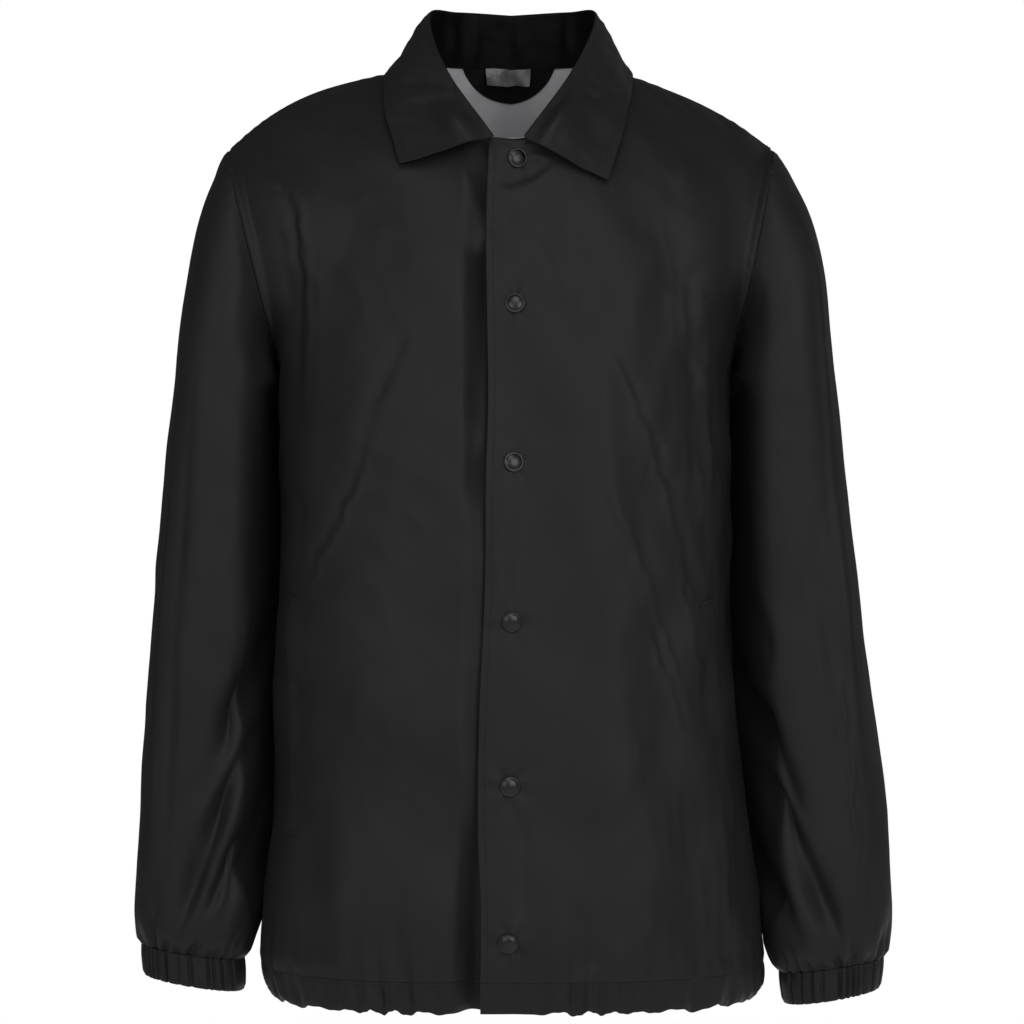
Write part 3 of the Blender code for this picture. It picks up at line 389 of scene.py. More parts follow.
def crease_rise(creases, across, up):
    """Height of all creases at places of a view, in metres."""
    rise = np.zeros_like(across)
    for number, crease in enumerate(creases):
        start = np.array([crease.from_x, crease.from_z])
        end = np.array([crease.to_x, crease.to_z])
        control = 2 * np.array([crease.bend_x, crease.bend_z]) - (start + end) / 2
        t = np.linspace(0, 1, CREASE_PIECES + 1)[:, None]
        path = start * (1 - t) ** 2 + 2 * control * t * (1 - t) + end * t**2
        aside = unit(np.gradient(path, axis=0))[:, ::-1] * np.array([1.0, -1.0])
        bends = np.linalg.norm(end - start) / CREASE_STEP * t
        wander = CREASE_WANDER * (np.sin(1.7 * bends + number) + np.sin(3.1 * bends + 2 * number))
        path = path + wander * aside * smooth_step(MIDDLE_WIDTH, FINE_WIDTH, crease.width)
        nearest = np.full(across.shape, np.inf)
        share = np.zeros_like(across)
        left = np.ones_like(across)
        for piece in range(CREASE_PIECES):
            run = path[piece + 1] - path[piece]
            from_x = across - path[piece, 0]
            from_z = up - path[piece, 1]
            ahead = np.clip((from_x * run[0] + from_z * run[1]) / (run @ run), 0, 1)
            off_x = from_x - ahead * run[0]
            off_z = from_z - ahead * run[1]
            away = np.hypot(off_x, off_z)
            closer = away < nearest
            nearest = np.where(closer, away, nearest)
            share = np.where(closer, (piece + ahead) / CREASE_PIECES, share)
            left = np.where(closer, np.sign(run[0] * off_z - run[1] * off_x), left)
        broad = smooth_step(MIDDLE_WIDTH, BROAD_WIDTH, crease.width)
        taper = np.sin(np.pi * share) ** (CREASE_TAPER + (BROAD_TAPER - CREASE_TAPER) * broad)
        width = crease.width * (1 - crease.lean * left) * (0.6 + 0.4 * taper)
        uneven = 0.8 + 0.2 * np.sin(15.0 * share + 1.9 * number)
        rise += crease.rise * taper * uneven * np.exp(-((nearest / width) ** 2))
    return rise


CRUMPLE_WAVES = 14
CRUMPLE_STRETCH = 1.9
BROAD_CRUMPLE = 0.0019
BROAD_SIZE = 0.085
FINE_CRUMPLE = 0.0008
FINE_SIZE = 0.030
PATCHY_SIZE = 0.16
FACET_FOLDS = 6
FACET_STRETCH = 1.3
FACET_BEND = 1.1
FACET_EDGE = 0.975
FACET_CRUMPLE = 0.0021
FACET_SIZE = 0.052
CRUSHED_FROM_X = 0.05
CRUSHED_TO_X = 0.12


def crumple(across, up, size, seed):
    """Soft uneven rises and dips about one size apart, mostly between -1 and 1."""
    draws = np.random.default_rng(seed)
    total = np.zeros_like(across)
    for _ in range(CRUMPLE_WAVES):
        turn = draws.uniform(0, 2 * np.pi)
        length = size * draws.uniform(0.7, 1.6)
        phase = draws.uniform(0, 2 * np.pi)
        total += np.sin((across * np.cos(turn) + up * np.sin(turn)) * 2 * np.pi / length + phase)
    return total / math.sqrt(CRUMPLE_WAVES)


def facets(across, up, size, seed):
    """Flat uneven facets that meet in sharp edges, as in crushed nylon, mostly between -1 and 1."""
    draws = np.random.default_rng(seed)
    bend = FACET_BEND * crumple(across, up, 2.5 * size, seed + 40)
    total = np.zeros_like(across)
    for number in range(FACET_FOLDS):
        turn = draws.uniform(0, 2 * np.pi)
        length = size * draws.uniform(0.7, 1.8)
        way = (across * np.cos(turn) + up * np.sin(turn)) * 2 * np.pi / length + bend
        patchy = smooth_step(-0.8, 0.9, crumple(across, up, 1.8 * size, seed + 50 + number))
        total += patchy * np.arcsin(FACET_EDGE * np.sin(way)) * 2 / np.pi
    return total / math.sqrt(FACET_FOLDS)


def loose_cloth(points, seed):
    """The uneven hang of loose cloth, longer up and down than across, and more crushed at the sides."""
    x = points[..., 0] + points[..., 1]
    z = points[..., 2] / CRUMPLE_STRETCH
    rise = BROAD_CRUMPLE * crumple(x, z, BROAD_SIZE, seed)
    crushed = 0.55 + 0.45 * smooth_step(CRUSHED_FROM_X, CRUSHED_TO_X, np.abs(points[..., 0]))
    folded = facets(x, points[..., 2] / FACET_STRETCH, FACET_SIZE, seed + 1)
    rise += FACET_CRUMPLE * crushed * folded
    patchy = smooth_step(-0.6, 1.2, crumple(x, z, PATCHY_SIZE, seed + 3))
    return rise - FINE_CRUMPLE * patchy * np.abs(crumple(x, z, FINE_SIZE, seed + 2))


def lengths_along(points, axis):
    """Distance of every grid point from the first one of its column (axis 0) or row (axis 1)."""
    steps = np.linalg.norm(np.diff(points, axis=axis), axis=2)
    return np.insert(np.cumsum(steps, axis=axis), 0, 0, axis=axis)


# Depth and reach of the groove that a seam pulls into the cloth, and depth, length and reach of the
# puckers beside it
SEAM_GROOVE = 0.0014
GROOVE_REACH = 0.0026
SEAM_PUCKER = 0.0005
PUCKER_LENGTH = 0.0095
PUCKER_REACH = 0.009
PUCKER_WANDER = 0.060


def seam_relief(beside, along, seed):
    """What a sewn seam does to the cloth beside it: a groove, and uneven small puckers."""
    groove = -SEAM_GROOVE * np.exp(-((beside / GROOVE_REACH) ** 2))
    wander = crumple(along, np.zeros_like(along), PUCKER_WANDER, seed)
    pucker = np.sin(2 * np.pi * along / PUCKER_LENGTH + 2.0 * wander) * (0.6 + 0.4 * wander)
    near = np.exp(-beside / PUCKER_REACH) * smooth_step(0, 0.003, beside)
    return groove + SEAM_PUCKER * pucker * near


HEM_GATHERS = 12
HEM_RIPPLE = 0.0009
HEM_RIPPLE_REACH = 0.010
HEM_PUCKER = 0.0014
HEM_PUCKER_START = 0.008
HEM_PUCKER_REACH = 0.018
LAP_FLAT_FROM = -0.010
LAP_FLAT_TO = 0.050
HEM_PHASE = {("front", RIGHT): 0.4, ("front", LEFT): 1.7, ("back", RIGHT): 2.6, ("back", LEFT): 4.1}


def hem_wave(side, face, share, x):
    """The hem's uneven gathers on a quarter of the body, by the share of the way to the side seam."""
    phase = HEM_PHASE[face, side]
    bunched = HEM_GATHERS * share + 0.35 * np.sin(2 * np.pi * 2.3 * share + phase)
    uneven = 0.7 + 0.3 * np.sin(2 * np.pi * 3.1 * share + 2 * phase)
    wave = np.sin(2 * np.pi * bunched + phase) + 0.35 * np.sin(2 * np.pi * 2.7 * bunched + 1 + phase)
    wave = wave * uneven * smooth_step(0, 0.03, 1 - share)
    if face == "front":
        return wave * smooth_step(LAP_FLAT_FROM, LAP_FLAT_TO, side * x)
    return wave * smooth_step(0, 0.04, share)


# The right front is tucked back under the lap by uneven amounts, and falls away behind it near the hem
Tuck = namedtuple("Tuck", "height depth")
TUCKS = (
    Tuck(-0.727, 0.0130),
    Tuck(-0.667, 0.0130),
    Tuck(-0.607, 0.0110),
    Tuck(-0.560, 0.0055),
    Tuck(-0.524, 0.0045),
    Tuck(-0.430, 0.0055),
    Tuck(-0.351, 0.0060),
    Tuck(-0.325, 0.0105),
    Tuck(-0.298, 0.0080),
    Tuck(-0.268, 0.0120),
    Tuck(-0.208, 0.0130),
    Tuck(-0.166, 0.0120),
    Tuck(-0.145, 0.0050),
    Tuck(-0.118, 0.0100),
    Tuck(-0.078, 0.0070),
)
TUCK_RUN = 0.019
UNDERLAP = 0.006
UNDERLAP_RUN = 0.012
GAP_X = -0.030
GAP_WIDTH = 0.013
GAP_DEPTH = 0.012
GAP_FROM = -0.575
GAP_FULL = -0.705


def behind_lap(points):
    """Points of the right front, moved back behind the lap."""
    lap = points[..., 0] - lap_edge(LEFT, points[..., 2])
    dip = GAP_DEPTH * smooth_step(GAP_FROM, GAP_FULL, points[..., 2])
    hollow = dip * np.exp(-(((points[..., 0] - GAP_X) / GAP_WIDTH) ** 2))
    tuck = spline(column(TUCKS, "height"), column(TUCKS, "depth"), points[..., 2])
    moved = points.copy()
    under = UNDERLAP * smooth_step(0, UNDERLAP_RUN, lap)
    moved[..., 1] += tuck * smooth_step(-TUCK_RUN, 0, lap) + hollow + under
    return moved


# The edge of the lap wanders by up to three millimetres, and is puckered, most of all at the chest
Waver = namedtuple("Waver", "height shift")
LAP_WAVER = (
    Waver(-0.727, 0.0011),
    Waver(-0.645, 0.0010),
    Waver(-0.590, -0.0016),
    Waver(-0.495, -0.0013),
    Waver(-0.418, 0.0015),
    Waver(-0.320, 0.0018),
    Waver(-0.275, 0.0027),
    Waver(-0.193, 0.0010),
    Waver(-0.140, -0.0002),
    Waver(-0.070, 0.0011),
)
LAP_WAVER_REACH = 0.020
LAP_PUCKER = 0.0008
LAP_PUCKER_REACH = 0.0055
LAP_PUCKER_LENGTH = 0.0120
LAP_PUCKER_TOP = -0.100
LAP_PUCKER_BOTTOM = -0.170
LAP_PUCKER_FADE = 0.03
LAP_PUCKER_WANDER = 0.022


def wavering_lap(points):
    """Points of the left front, with its free edge out of a straight line."""
    shift = spline(column(LAP_WAVER, "height"), column(LAP_WAVER, "shift"), points[..., 2])
    moved = points.copy()
    moved[..., 0] += shift * np.exp(-lengths_along(points, 1) / LAP_WAVER_REACH)
    return moved


def lap_puckers(points, seed):
    """Small puckers along the stitched edge of the lap, most of them at the chest."""
    z = points[..., 2]
    window = smooth_step(LAP_PUCKER_BOTTOM - LAP_PUCKER_FADE, LAP_PUCKER_BOTTOM, z)
    window = window * smooth_step(LAP_PUCKER_TOP + LAP_PUCKER_FADE, LAP_PUCKER_TOP, z)
    wander = crumple(z, np.zeros_like(z), LAP_PUCKER_WANDER, seed)
    wave = np.sin(2 * np.pi * z / LAP_PUCKER_LENGTH + 3.2 * wander) * (0.5 + 0.5 * np.sin(3 * wander))
    return LAP_PUCKER * (0.2 + window) * wave * np.exp(-lengths_along(points, 1) / LAP_PUCKER_REACH)


# Each snap pinches the cloth under it and pulls short creases out of it. The cloth leans a little
# there, and the cap leans with it.
Snap = namedtuple("Snap", "height pull lean_x lean_z")
SNAPS = (
    Snap(-0.0830, 0.0014, -0.30, 0.28),
    Snap(-0.1955, 0.0012, 0.00, -0.03),
    Snap(-0.3150, 0.0007, 0.00, -0.03),
    Snap(-0.4345, 0.0007, -0.08, 0.22),
    Snap(-0.5570, 0.0013, 0.00, -0.02),
    Snap(-0.6735, 0.0014, 0.08, 0.16),
)
LEAN_REACH = 0.013
SNAP_TOP_X = 0.0045
SNAP_BOTTOM_X = -0.0020
SNAP_RADIUS = 0.0076
PULL_REACH = 0.016
PULL_RAYS = 5
SNAPS_X = np.linspace(SNAP_TOP_X, SNAP_BOTTOM_X, len(SNAPS))


def snap_relief(x, z):
    """The dimple and the short pulled creases round every snap."""
    rise = np.zeros_like(x)
    for number, (snap, snap_x) in enumerate(zip(SNAPS, SNAPS_X)):
        off_x = x - snap_x
        off_z = z - snap.height
        away = np.hypot(off_x, off_z)
        rays = np.cos(PULL_RAYS * np.arctan2(off_z, off_x) + 1.3 * number)
        near = np.exp(-((away / PULL_REACH) ** 2)) * smooth_step(0.3 * SNAP_RADIUS, SNAP_RADIUS, away)
        rise += snap.pull * rays * near - 0.6 * snap.pull * np.exp(-((away / SNAP_RADIUS) ** 2))
        rise += (snap.lean_x * off_x + snap.lean_z * off_z) * np.exp(-((away / LEAN_REACH) ** 2))
    return rise


# The armhole seam sinks between the body and the sleeve in front, more and more towards the underarm
Dip = namedtuple("Dip", "from_turn full_turn depth")
ARMHOLE_DIPS = {RIGHT: Dip(108, 150, 0.017), LEFT: Dip(92, 130, 0.022)}
BODY_DIP_REACH = 0.014
SLEEVE_DIP_REACH = 0.018


def armhole_dip(side, turns):
    """How far back the front of the armhole is pulled, by the turn round it."""
    dip = ARMHOLE_DIPS[side]
    sunk = smooth_step(dip.from_turn, dip.full_turn, turns) * smooth_step(180, 164, turns)
    return dip.depth * np.where(turns < 180, sunk, 0)


CREASE_FADE = 0.014
SIDE_FADE = 0.036
NECK_FADE_ROWS = 8
UNDER_LAP_FADE = (0.002, -0.012)
SIDE_FLATNESS = 0.3
ARMHOLE_PULL = 1.7
ARMHOLE_PULL_ROWS = (4, 22)


def dressed_panel(side, face, columns, creases, seed):
    """A body panel with its creases, seam grooves, puckers and hem gathers."""
    points, turns = body_panel(side, face, columns)
    from_middle = lengths_along(points, 1)
    from_hem = lengths_along(points, 0)
    to_side = from_middle[:, -1:] - from_middle
    if face == "front":
        near = np.exp(-((to_side[LOWER_ROWS:] / BODY_DIP_REACH) ** 2))
        points[LOWER_ROWS:, :, 1] += armhole_dip(side, turns)[:, None] * near
    normals = panel_normals(points, side, face, turns)
    to_shoulder = from_hem[-1:] - from_hem
    x = points[..., 0]
    rise = crease_rise(creases, x, points[..., 2])
    rise += loose_cloth(points, seed) * smooth_step(0, SIDE_FADE, to_side)
    if face == "front" and side == LEFT:
        rise += snap_relief(x, points[..., 2]) + lap_puckers(points, seed + 3)
    fade = smooth_step(0, CREASE_FADE, to_side) * smooth_step(0, CREASE_FADE, to_shoulder)
    if face == "front" and side == RIGHT:
        fade = fade * smooth_step(*UNDER_LAP_FADE, x - lap_edge(LEFT, points[..., 2]))
    at_neck = smooth_step(NECK_ROW[face] - NECK_FADE_ROWS, NECK_ROW[face], np.arange(len(points)))
    fade = fade * (1 - at_neck[:, None] * (1 - smooth_step(0, CREASE_FADE, from_middle)))
    rise = rise * fade * smooth_step(0, CREASE_FADE, from_hem)
    upward = smooth_step(*ARMHOLE_PULL_ROWS, np.arange(len(points)) - LOWER_ROWS)
    flat_side = SIDE_FLATNESS + (ARMHOLE_PULL - SIDE_FLATNESS) * upward
    rise += seam_relief(to_side, from_hem, seed + 4) * flat_side[:, None]
    rise += seam_relief(to_shoulder, from_middle, seed + 5)
    share = np.linspace(0, 1, columns + 1)[None, :] * np.ones_like(x)
    above = HEM_PUCKER * np.exp(-from_hem / HEM_PUCKER_REACH) * smooth_step(0, HEM_PUCKER_START, from_hem)
    gathered = HEM_RIPPLE * np.exp(-from_hem / HEM_RIPPLE_REACH) + above
    rise += hem_wave(side, face, share, x) * gathered
    points = points + normals * rise[..., None]
    away = -1 if face == "front" else 1
    points[-1, :, 1] += away * SEAM_GAP / 2
    points[: LOWER_ROWS + 1, -1, 1] += away * SEAM_GAP / 2
    points[LOWER_ROWS + 1 :, -1, 0] -= side * SEAM_GAP / 2
    if face == "front":
        points = behind_lap(points) if side == RIGHT else wavering_lap(points)
    return Sheet(points, panel_normals(points, side, face, turns), (face == "front") == (side == RIGHT))


def mesh_piece(name, vertices, faces, surfaces):
    """A smooth mesh object that rides on the root body."""
    mesh = bpy.data.meshes.new(name)
    mesh.from_pydata(vertices, [], faces)
    for surface in surfaces:
        mesh.materials.append(surface)
    mesh.polygons.foreach_set("use_smooth", np.ones(len(mesh.polygons), bool))
    made = bpy.data.objects.new(name, mesh)
    bpy.context.scene.collection.objects.link(made)
    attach(made, "root")
    return made


EDGE_ROUND = 0.45


def cloth_shell(name, sheets, wall, surfaces):
    """A thin shell: the face that shows, the wrong side one wall further in, and a rounded edge.

    Sheets are joined where their points meet. The second surface is that of the wrong side.
    """
    points = np.concatenate([sheet.points.reshape(-1, 3) for sheet in sheets])
    normals = np.concatenate([sheet.normals.reshape(-1, 3) for sheet in sheets])
    quads = []
    places = []
    base = 0
    for sheet in sheets:
        number = base + np.arange(sheet.points[..., 0].size).reshape(sheet.points.shape[:2])
        base += number.size
        corners = [number[:-1, :-1], number[:-1, 1:], number[1:, 1:], number[1:, :-1]]
        corners = np.stack(corners, axis=-1).reshape(-1, 4)
        quads.append(corners[:, ::-1] if sheet.flipped else corners)
        spread = np.stack([lengths_along(sheet.points, 1), lengths_along(sheet.points, 0)], axis=-1)
        places.append(spread.reshape(-1, 2))
    quads = np.concatenate(quads)
    places = np.concatenate(places)
    marks = [places[quads], places[quads[:, ::-1]]]
    _, first, joined = np.unique(np.round(points, 6), axis=0, return_index=True, return_inverse=True)
    joined = joined.ravel()
    quads = joined[quads]
    outer = points[first]
    facing = np.zeros_like(outer)
    np.add.at(facing, joined, normals)
    facing = unit(facing)
    inner = outer - wall * facing
    count = len(outer)
    ends = np.concatenate([quads[:, [n, (n + 1) % 4]] for n in range(4)])
    free = ends[~np.isin(ends[:, 0] * count + ends[:, 1], ends[:, 1] * count + ends[:, 0])]
    start, end = free.T
    run = unit(outer[end] - outer[start])
    outward = np.zeros_like(outer)
    np.add.at(outward, start, np.cross(run, facing[start]))
    np.add.at(outward, end, np.cross(run, facing[end]))
    edge = np.unique(free)
    rim = (outer[edge] + inner[edge]) / 2 + unit(outward[edge]) * wall * EDGE_ROUND
    rim_number = np.zeros(count, int)
    rim_number[edge] = 2 * count + np.arange(len(edge))
    faces = np.concatenate([
        quads,
        quads[:, ::-1] + count,
        np.stack([end, start, rim_number[start], rim_number[end]], axis=1),
        np.stack([rim_number[end], rim_number[start], start + count, end + count], axis=1),
    ])
    edge_marks = places[first][np.stack([end, start, start, end], axis=1)]
    marks += [edge_marks, edge_marks]
    vertices = np.concatenate([outer, inner, rim])
    made = mesh_piece(name, vertices.tolist(), faces.tolist(), surfaces)
    index = np.zeros(len(faces), int)
    index[len(quads) : 2 * len(quads)] = len(surfaces) - 1
    made.data.polygons.foreach_set("material_index", index)
    ends = np.zeros(2 * len(made.data.edges), int)
    made.data.edges.foreach_get("vertices", ends)
    ends = np.sort(ends.reshape(-1, 2), axis=1)
    free = np.sort(free, axis=1)
    turned = np.concatenate([free, free + count]) @ np.array([len(vertices), 1])
    crisp = np.isin(ends @ np.array([len(vertices), 1]), turned)
    made.data.edges.foreach_set("use_edge_sharp", crisp)
    layer = made.data.uv_layers.new(name="cloth_grain")
    layer.data.foreach_set("uv", np.concatenate(marks).ravel())
    return made


def add_node(tree, kind, **settings):
    """A node of the given kind, with its sockets and settings filled in."""
    node = tree.nodes.new(kind)
    for name, value in settings.items():
        if name in node.inputs:
            node.inputs[name].default_value = value
        else:
            setattr(node, name, value)
    return node


def grey(value):
    """A neutral colour, very slightly cool."""
    return (value, value, value * 1.03, 1.0)


def new_finish(name, value):
    """An empty finish: its material, node tree and shader."""
    made = bpy.data.materials.new(name)
    made.use_nodes = True
    made.diffuse_color = grey(value)
    return made, made.node_tree, made.node_tree.nodes["Principled BSDF"]


def two_tones(tree, source, dark, light, low, high):
    """A colour that goes from dark to light as the source goes from low to high."""
    tone = add_node(tree, "ShaderNodeValToRGB")
    tone.color_ramp.elements[0].position = low
    tone.color_ramp.elements[0].color = grey(dark)
    tone.color_ramp.elements[1].position = high
    tone.color_ramp.elements[1].color = grey(light)
    tree.links.new(source, tone.inputs["Fac"])
    return tone.outputs["Color"]


# The weave's thread pitch, in the wave texture's own measure for places in metres
WEAVE_SCALE = 620.0


def woven_nylon(name, dark, light, roughness, sheen, crinkle):
    """Plain-woven nylon: fine threads both ways, soft crinkles, and an uneven dull gloss."""
    made, tree, shader = new_finish(name, light)
    place = add_node(tree, "ShaderNodeTexCoord")
    mottle = add_node(tree, "ShaderNodeTexNoise", Scale=14.0, Detail=5.0, Roughness=0.6)
    tree.links.new(place.outputs["Object"], mottle.inputs["Vector"])
    colour = two_tones(tree, mottle.outputs["Fac"], dark, light, 0.32, 0.70)
    tree.links.new(colour, shader.inputs["Base Color"])
    gloss = add_node(tree, "ShaderNodeMapRange")
    gloss.inputs["From Min"].default_value = 0.3
    gloss.inputs["From Max"].default_value = 0.7
    gloss.inputs["To Min"].default_value = roughness - 0.06
    gloss.inputs["To Max"].default_value = roughness + 0.06
    tree.links.new(mottle.outputs["Fac"], gloss.inputs["Value"])
    tree.links.new(gloss.outputs["Result"], shader.inputs["Roughness"])
    warp = add_node(tree, "ShaderNodeTexWave", Scale=WEAVE_SCALE, bands_direction="X")
    weft = add_node(tree, "ShaderNodeTexWave", Scale=WEAVE_SCALE, bands_direction="Y")
    threads = add_node(tree, "ShaderNodeMath", operation="MAXIMUM")
    for number, wave in enumerate((warp, weft)):
        tree.links.new(place.outputs["UV"], wave.inputs["Vector"])
        tree.links.new(wave.outputs["Fac"], threads.inputs[number])
    weave = add_node(tree, "ShaderNodeBump", Strength=0.10, Distance=0.0002)
    tree.links.new(threads.outputs["Value"], weave.inputs["Height"])
    creased = add_node(tree, "ShaderNodeTexNoise", Scale=62.0, Detail=3.0, Roughness=0.5, Distortion=0.8)
    tree.links.new(place.outputs["Object"], creased.inputs["Vector"])
    crinkles = add_node(tree, "ShaderNodeBump", Strength=crinkle, Distance=0.0012)
    tree.links.new(creased.outputs["Fac"], crinkles.inputs["Height"])
    tree.links.new(weave.outputs["Normal"], crinkles.inputs["Normal"])
    tree.links.new(crinkles.outputs["Normal"], shader.inputs["Normal"])
    shader.inputs["Specular IOR Level"].default_value = 0.12
    shader.inputs["Sheen Weight"].default_value = sheen
    shader.inputs["Sheen Roughness"].default_value = 0.45
    shader.inputs["Sheen Tint"].default_value = grey(0.6)
    return made


STITCH_LENGTH = 0.0025
STITCH_PITCH = 0.0031
STITCH_RADIUS = 0.00026
STITCH_SIDES = 5
STITCH_SINK = 0.00005


def inset_line(sheet, edge, distance):
    """The line on a sheet at a distance in from its first or last row, or its near or far side."""
    both = np.concatenate([sheet.points, sheet.normals], axis=2)
    if edge in ("first", "last"):
        both = both.transpose(1, 0, 2)
    if edge in ("last", "far"):
        both = both[:, ::-1]
    run = lengths_along(both[..., :3], 1)
    line = [[np.interp(distance, run[i], both[i, :, k]) for k in range(6)] for i in range(len(both))]
    line = np.array(line)
    return line[:, :3], unit(line[:, 3:])


def sewing(name, lines, finish):
    """Thread stitches along lines on the cloth, all those of one piece in one mesh."""
    vertices = []
    faces = []
    turns = np.linspace(0, 2 * np.pi, STITCH_SIDES, endpoint=False)
    for points, normals in lines:
        run = np.concatenate([[0], np.cumsum(np.linalg.norm(np.diff(points, axis=0), axis=1))])
        for start in np.arange(STITCH_PITCH / 2, run[-1] - STITCH_LENGTH, STITCH_PITCH):
            at = start + STITCH_LENGTH * np.array([0.0, 0.28, 0.72, 1.0])
            place = np.stack([np.interp(at, run, points[:, axis]) for axis in range(3)], axis=1)
            facing = unit(np.array([np.interp(at[1], run, normals[:, axis]) for axis in range(3)]))
            aside = unit(np.cross(place[3] - place[0], facing))
            spokes = np.cos(turns)[:, None] * facing + np.sin(turns)[:, None] * aside
            base = len(vertices)
            vertices.append(place[0] - facing * STITCH_RADIUS)
            for middle in place[1:3]:
                vertices.extend(middle - facing * STITCH_SINK + STITCH_RADIUS * spokes)
            vertices.append(place[3] - facing * STITCH_RADIUS)
            last = base + 1 + 2 * STITCH_SIDES
            for step in range(STITCH_SIDES):
                here = base + 1 + step
                after = base + 1 + (step + 1) % STITCH_SIDES
                faces.append((base, after, here))
                faces.append((here, after, after + STITCH_SIDES, here + STITCH_SIDES))
                faces.append((here + STITCH_SIDES, after + STITCH_SIDES, last))
    return mesh_piece(name, [tuple(v) for v in vertices], faces, [finish])


def spun_thread(name, value):
    """Twisted polyester sewing thread, a little glossier than the cloth."""
    made, tree, shader = new_finish(name, value)
    place = add_node(tree, "ShaderNodeTexCoord")
    twist = add_node(tree, "ShaderNodeTexWave", Scale=420.0, bands_direction="DIAGONAL")
    tree.links.new(place.outputs["Object"], twist.inputs["Vector"])
    colour = two_tones(tree, twist.outputs["Fac"], value * 0.6, value * 1.3, 0.0, 1.0)
    tree.links.new(colour, shader.inputs["Base Color"])
    ply = add_node(tree, "ShaderNodeBump", Strength=0.3, Distance=0.0001)
    tree.links.new(twist.outputs["Fac"], ply.inputs["Height"])
    tree.links.new(ply.outputs["Normal"], shader.inputs["Normal"])
    shader.inputs["Roughness"].default_value = 0.65
    shader.inputs["Specular IOR Level"].default_value = 0.15
    return made


black_nylon = woven_nylon("black_nylon", 0.0150, 0.0185, 0.50, 0.012, 0.15)
grey_coating = woven_nylon("grey_coating", 0.450, 0.510, 0.55, 0.03, 0.10)
black_thread = spun_thread("black_thread", 0.008)

FRONT_COLUMNS = 150
FRONT_SEED = {RIGHT: 11, LEFT: 31}
LAP_STITCH = 0.005
ARMHOLE_STITCH = 0.0030

fronts = {}
for side in (RIGHT, LEFT):
    creases = [crease for crease in FRONT_CREASES if crease.side == side]
    fronts[side] = dressed_panel(side, "front", FRONT_COLUMNS, creases, FRONT_SEED[side])
    front = cloth_shell(
        "front_" + WORD[side] + "_cloth", [fronts[side]], CLOTH, [black_nylon, grey_coating]
    )
    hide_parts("front_" + WORD[side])
    upper = Sheet(fronts[side].points[LOWER_ROWS:], fronts[side].normals[LOWER_ROWS:], False)
    lines = [inset_line(upper, "far", ARMHOLE_STITCH)]
    if side == LEFT:
        lines.append(inset_line(fronts[side], "near", LAP_STITCH))
    front_sewing = sewing("front_" + WORD[side] + "_sewing", lines, black_thread)

# The back is one piece of the same nylon with no middle seam, sewn to the fronts at the sides and
# shoulders. It hangs looser than the fronts, with long creases running down from the shoulder blades.
BACK_COLUMNS = 75
BACK_SEED = 71
BACK_CREASES = (
    Crease(RIGHT, -0.055, -0.120, -0.094, -0.225, -0.138, -0.335, 0.012, -0.0046, -0.2),
    Crease(RIGHT, -0.080, -0.110, -0.122, -0.215, -0.158, -0.310, 0.012, 0.0036, 0.0),
    Crease(RIGHT, -0.042, -0.440, -0.086, -0.580, -0.112, -0.708, 0.016, 0.0050, 0.2),
    Crease(RIGHT, -0.064, -0.470, -0.112, -0.590, -0.146, -0.690, 0.012, -0.0040, 0.0),
    Crease(RIGHT, -0.125, -0.380, -0.142, -0.500, -0.150, -0.640, 0.014, -0.0034, 0.0),
    Crease(RIGHT, -0.016, -0.520, -0.030, -0.610, -0.034, -0.705, 0.014, -0.0028, 0.0),
    Crease(LEFT, 0.070, -0.130, 0.108, -0.240, 0.146, -0.355, 0.012, -0.0046, 0.2),
    Crease(LEFT, 0.096, -0.120, 0.130, -0.215, 0.156, -0.320, 0.012, 0.0034, 0.0),
    Crease(LEFT, 0.040, -0.400, 0.070, -0.560, 0.092, -0.708, 0.016, 0.0050, -0.2),
    Crease(LEFT, 0.066, -0.450, 0.100, -0.580, 0.122, -0.700, 0.012, -0.0038, 0.0),
    Crease(LEFT, 0.130, -0.400, 0.140, -0.500, 0.146, -0.620, 0.013, -0.0034, 0.0),
    Crease(LEFT, 0.010, -0.180, -0.006, -0.330, 0.012, -0.470, 0.022, -0.0024, 0.0),
)

backs = {s: dressed_panel(s, "back", BACK_COLUMNS, BACK_CREASES, BACK_SEED) for s in (RIGHT, LEFT)}
centre_back = slice(0, NECK_ROW["back"] + 1)
backs[LEFT].points[centre_back, 0] = backs[RIGHT].points[centre_back, 0]
back = cloth_shell(
    "back_cloth", [backs[RIGHT], backs[LEFT]], CLOTH, [black_nylon, grey_coating]
)
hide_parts("back")
lines = []
for side in (RIGHT, LEFT):
    upper = Sheet(backs[side].points[LOWER_ROWS:], backs[side].normals[LOWER_ROWS:], False)
    lines.append(inset_line(upper, "far", ARMHOLE_STITCH))
back_sewing = sewing("back_sewing", lines, black_thread)

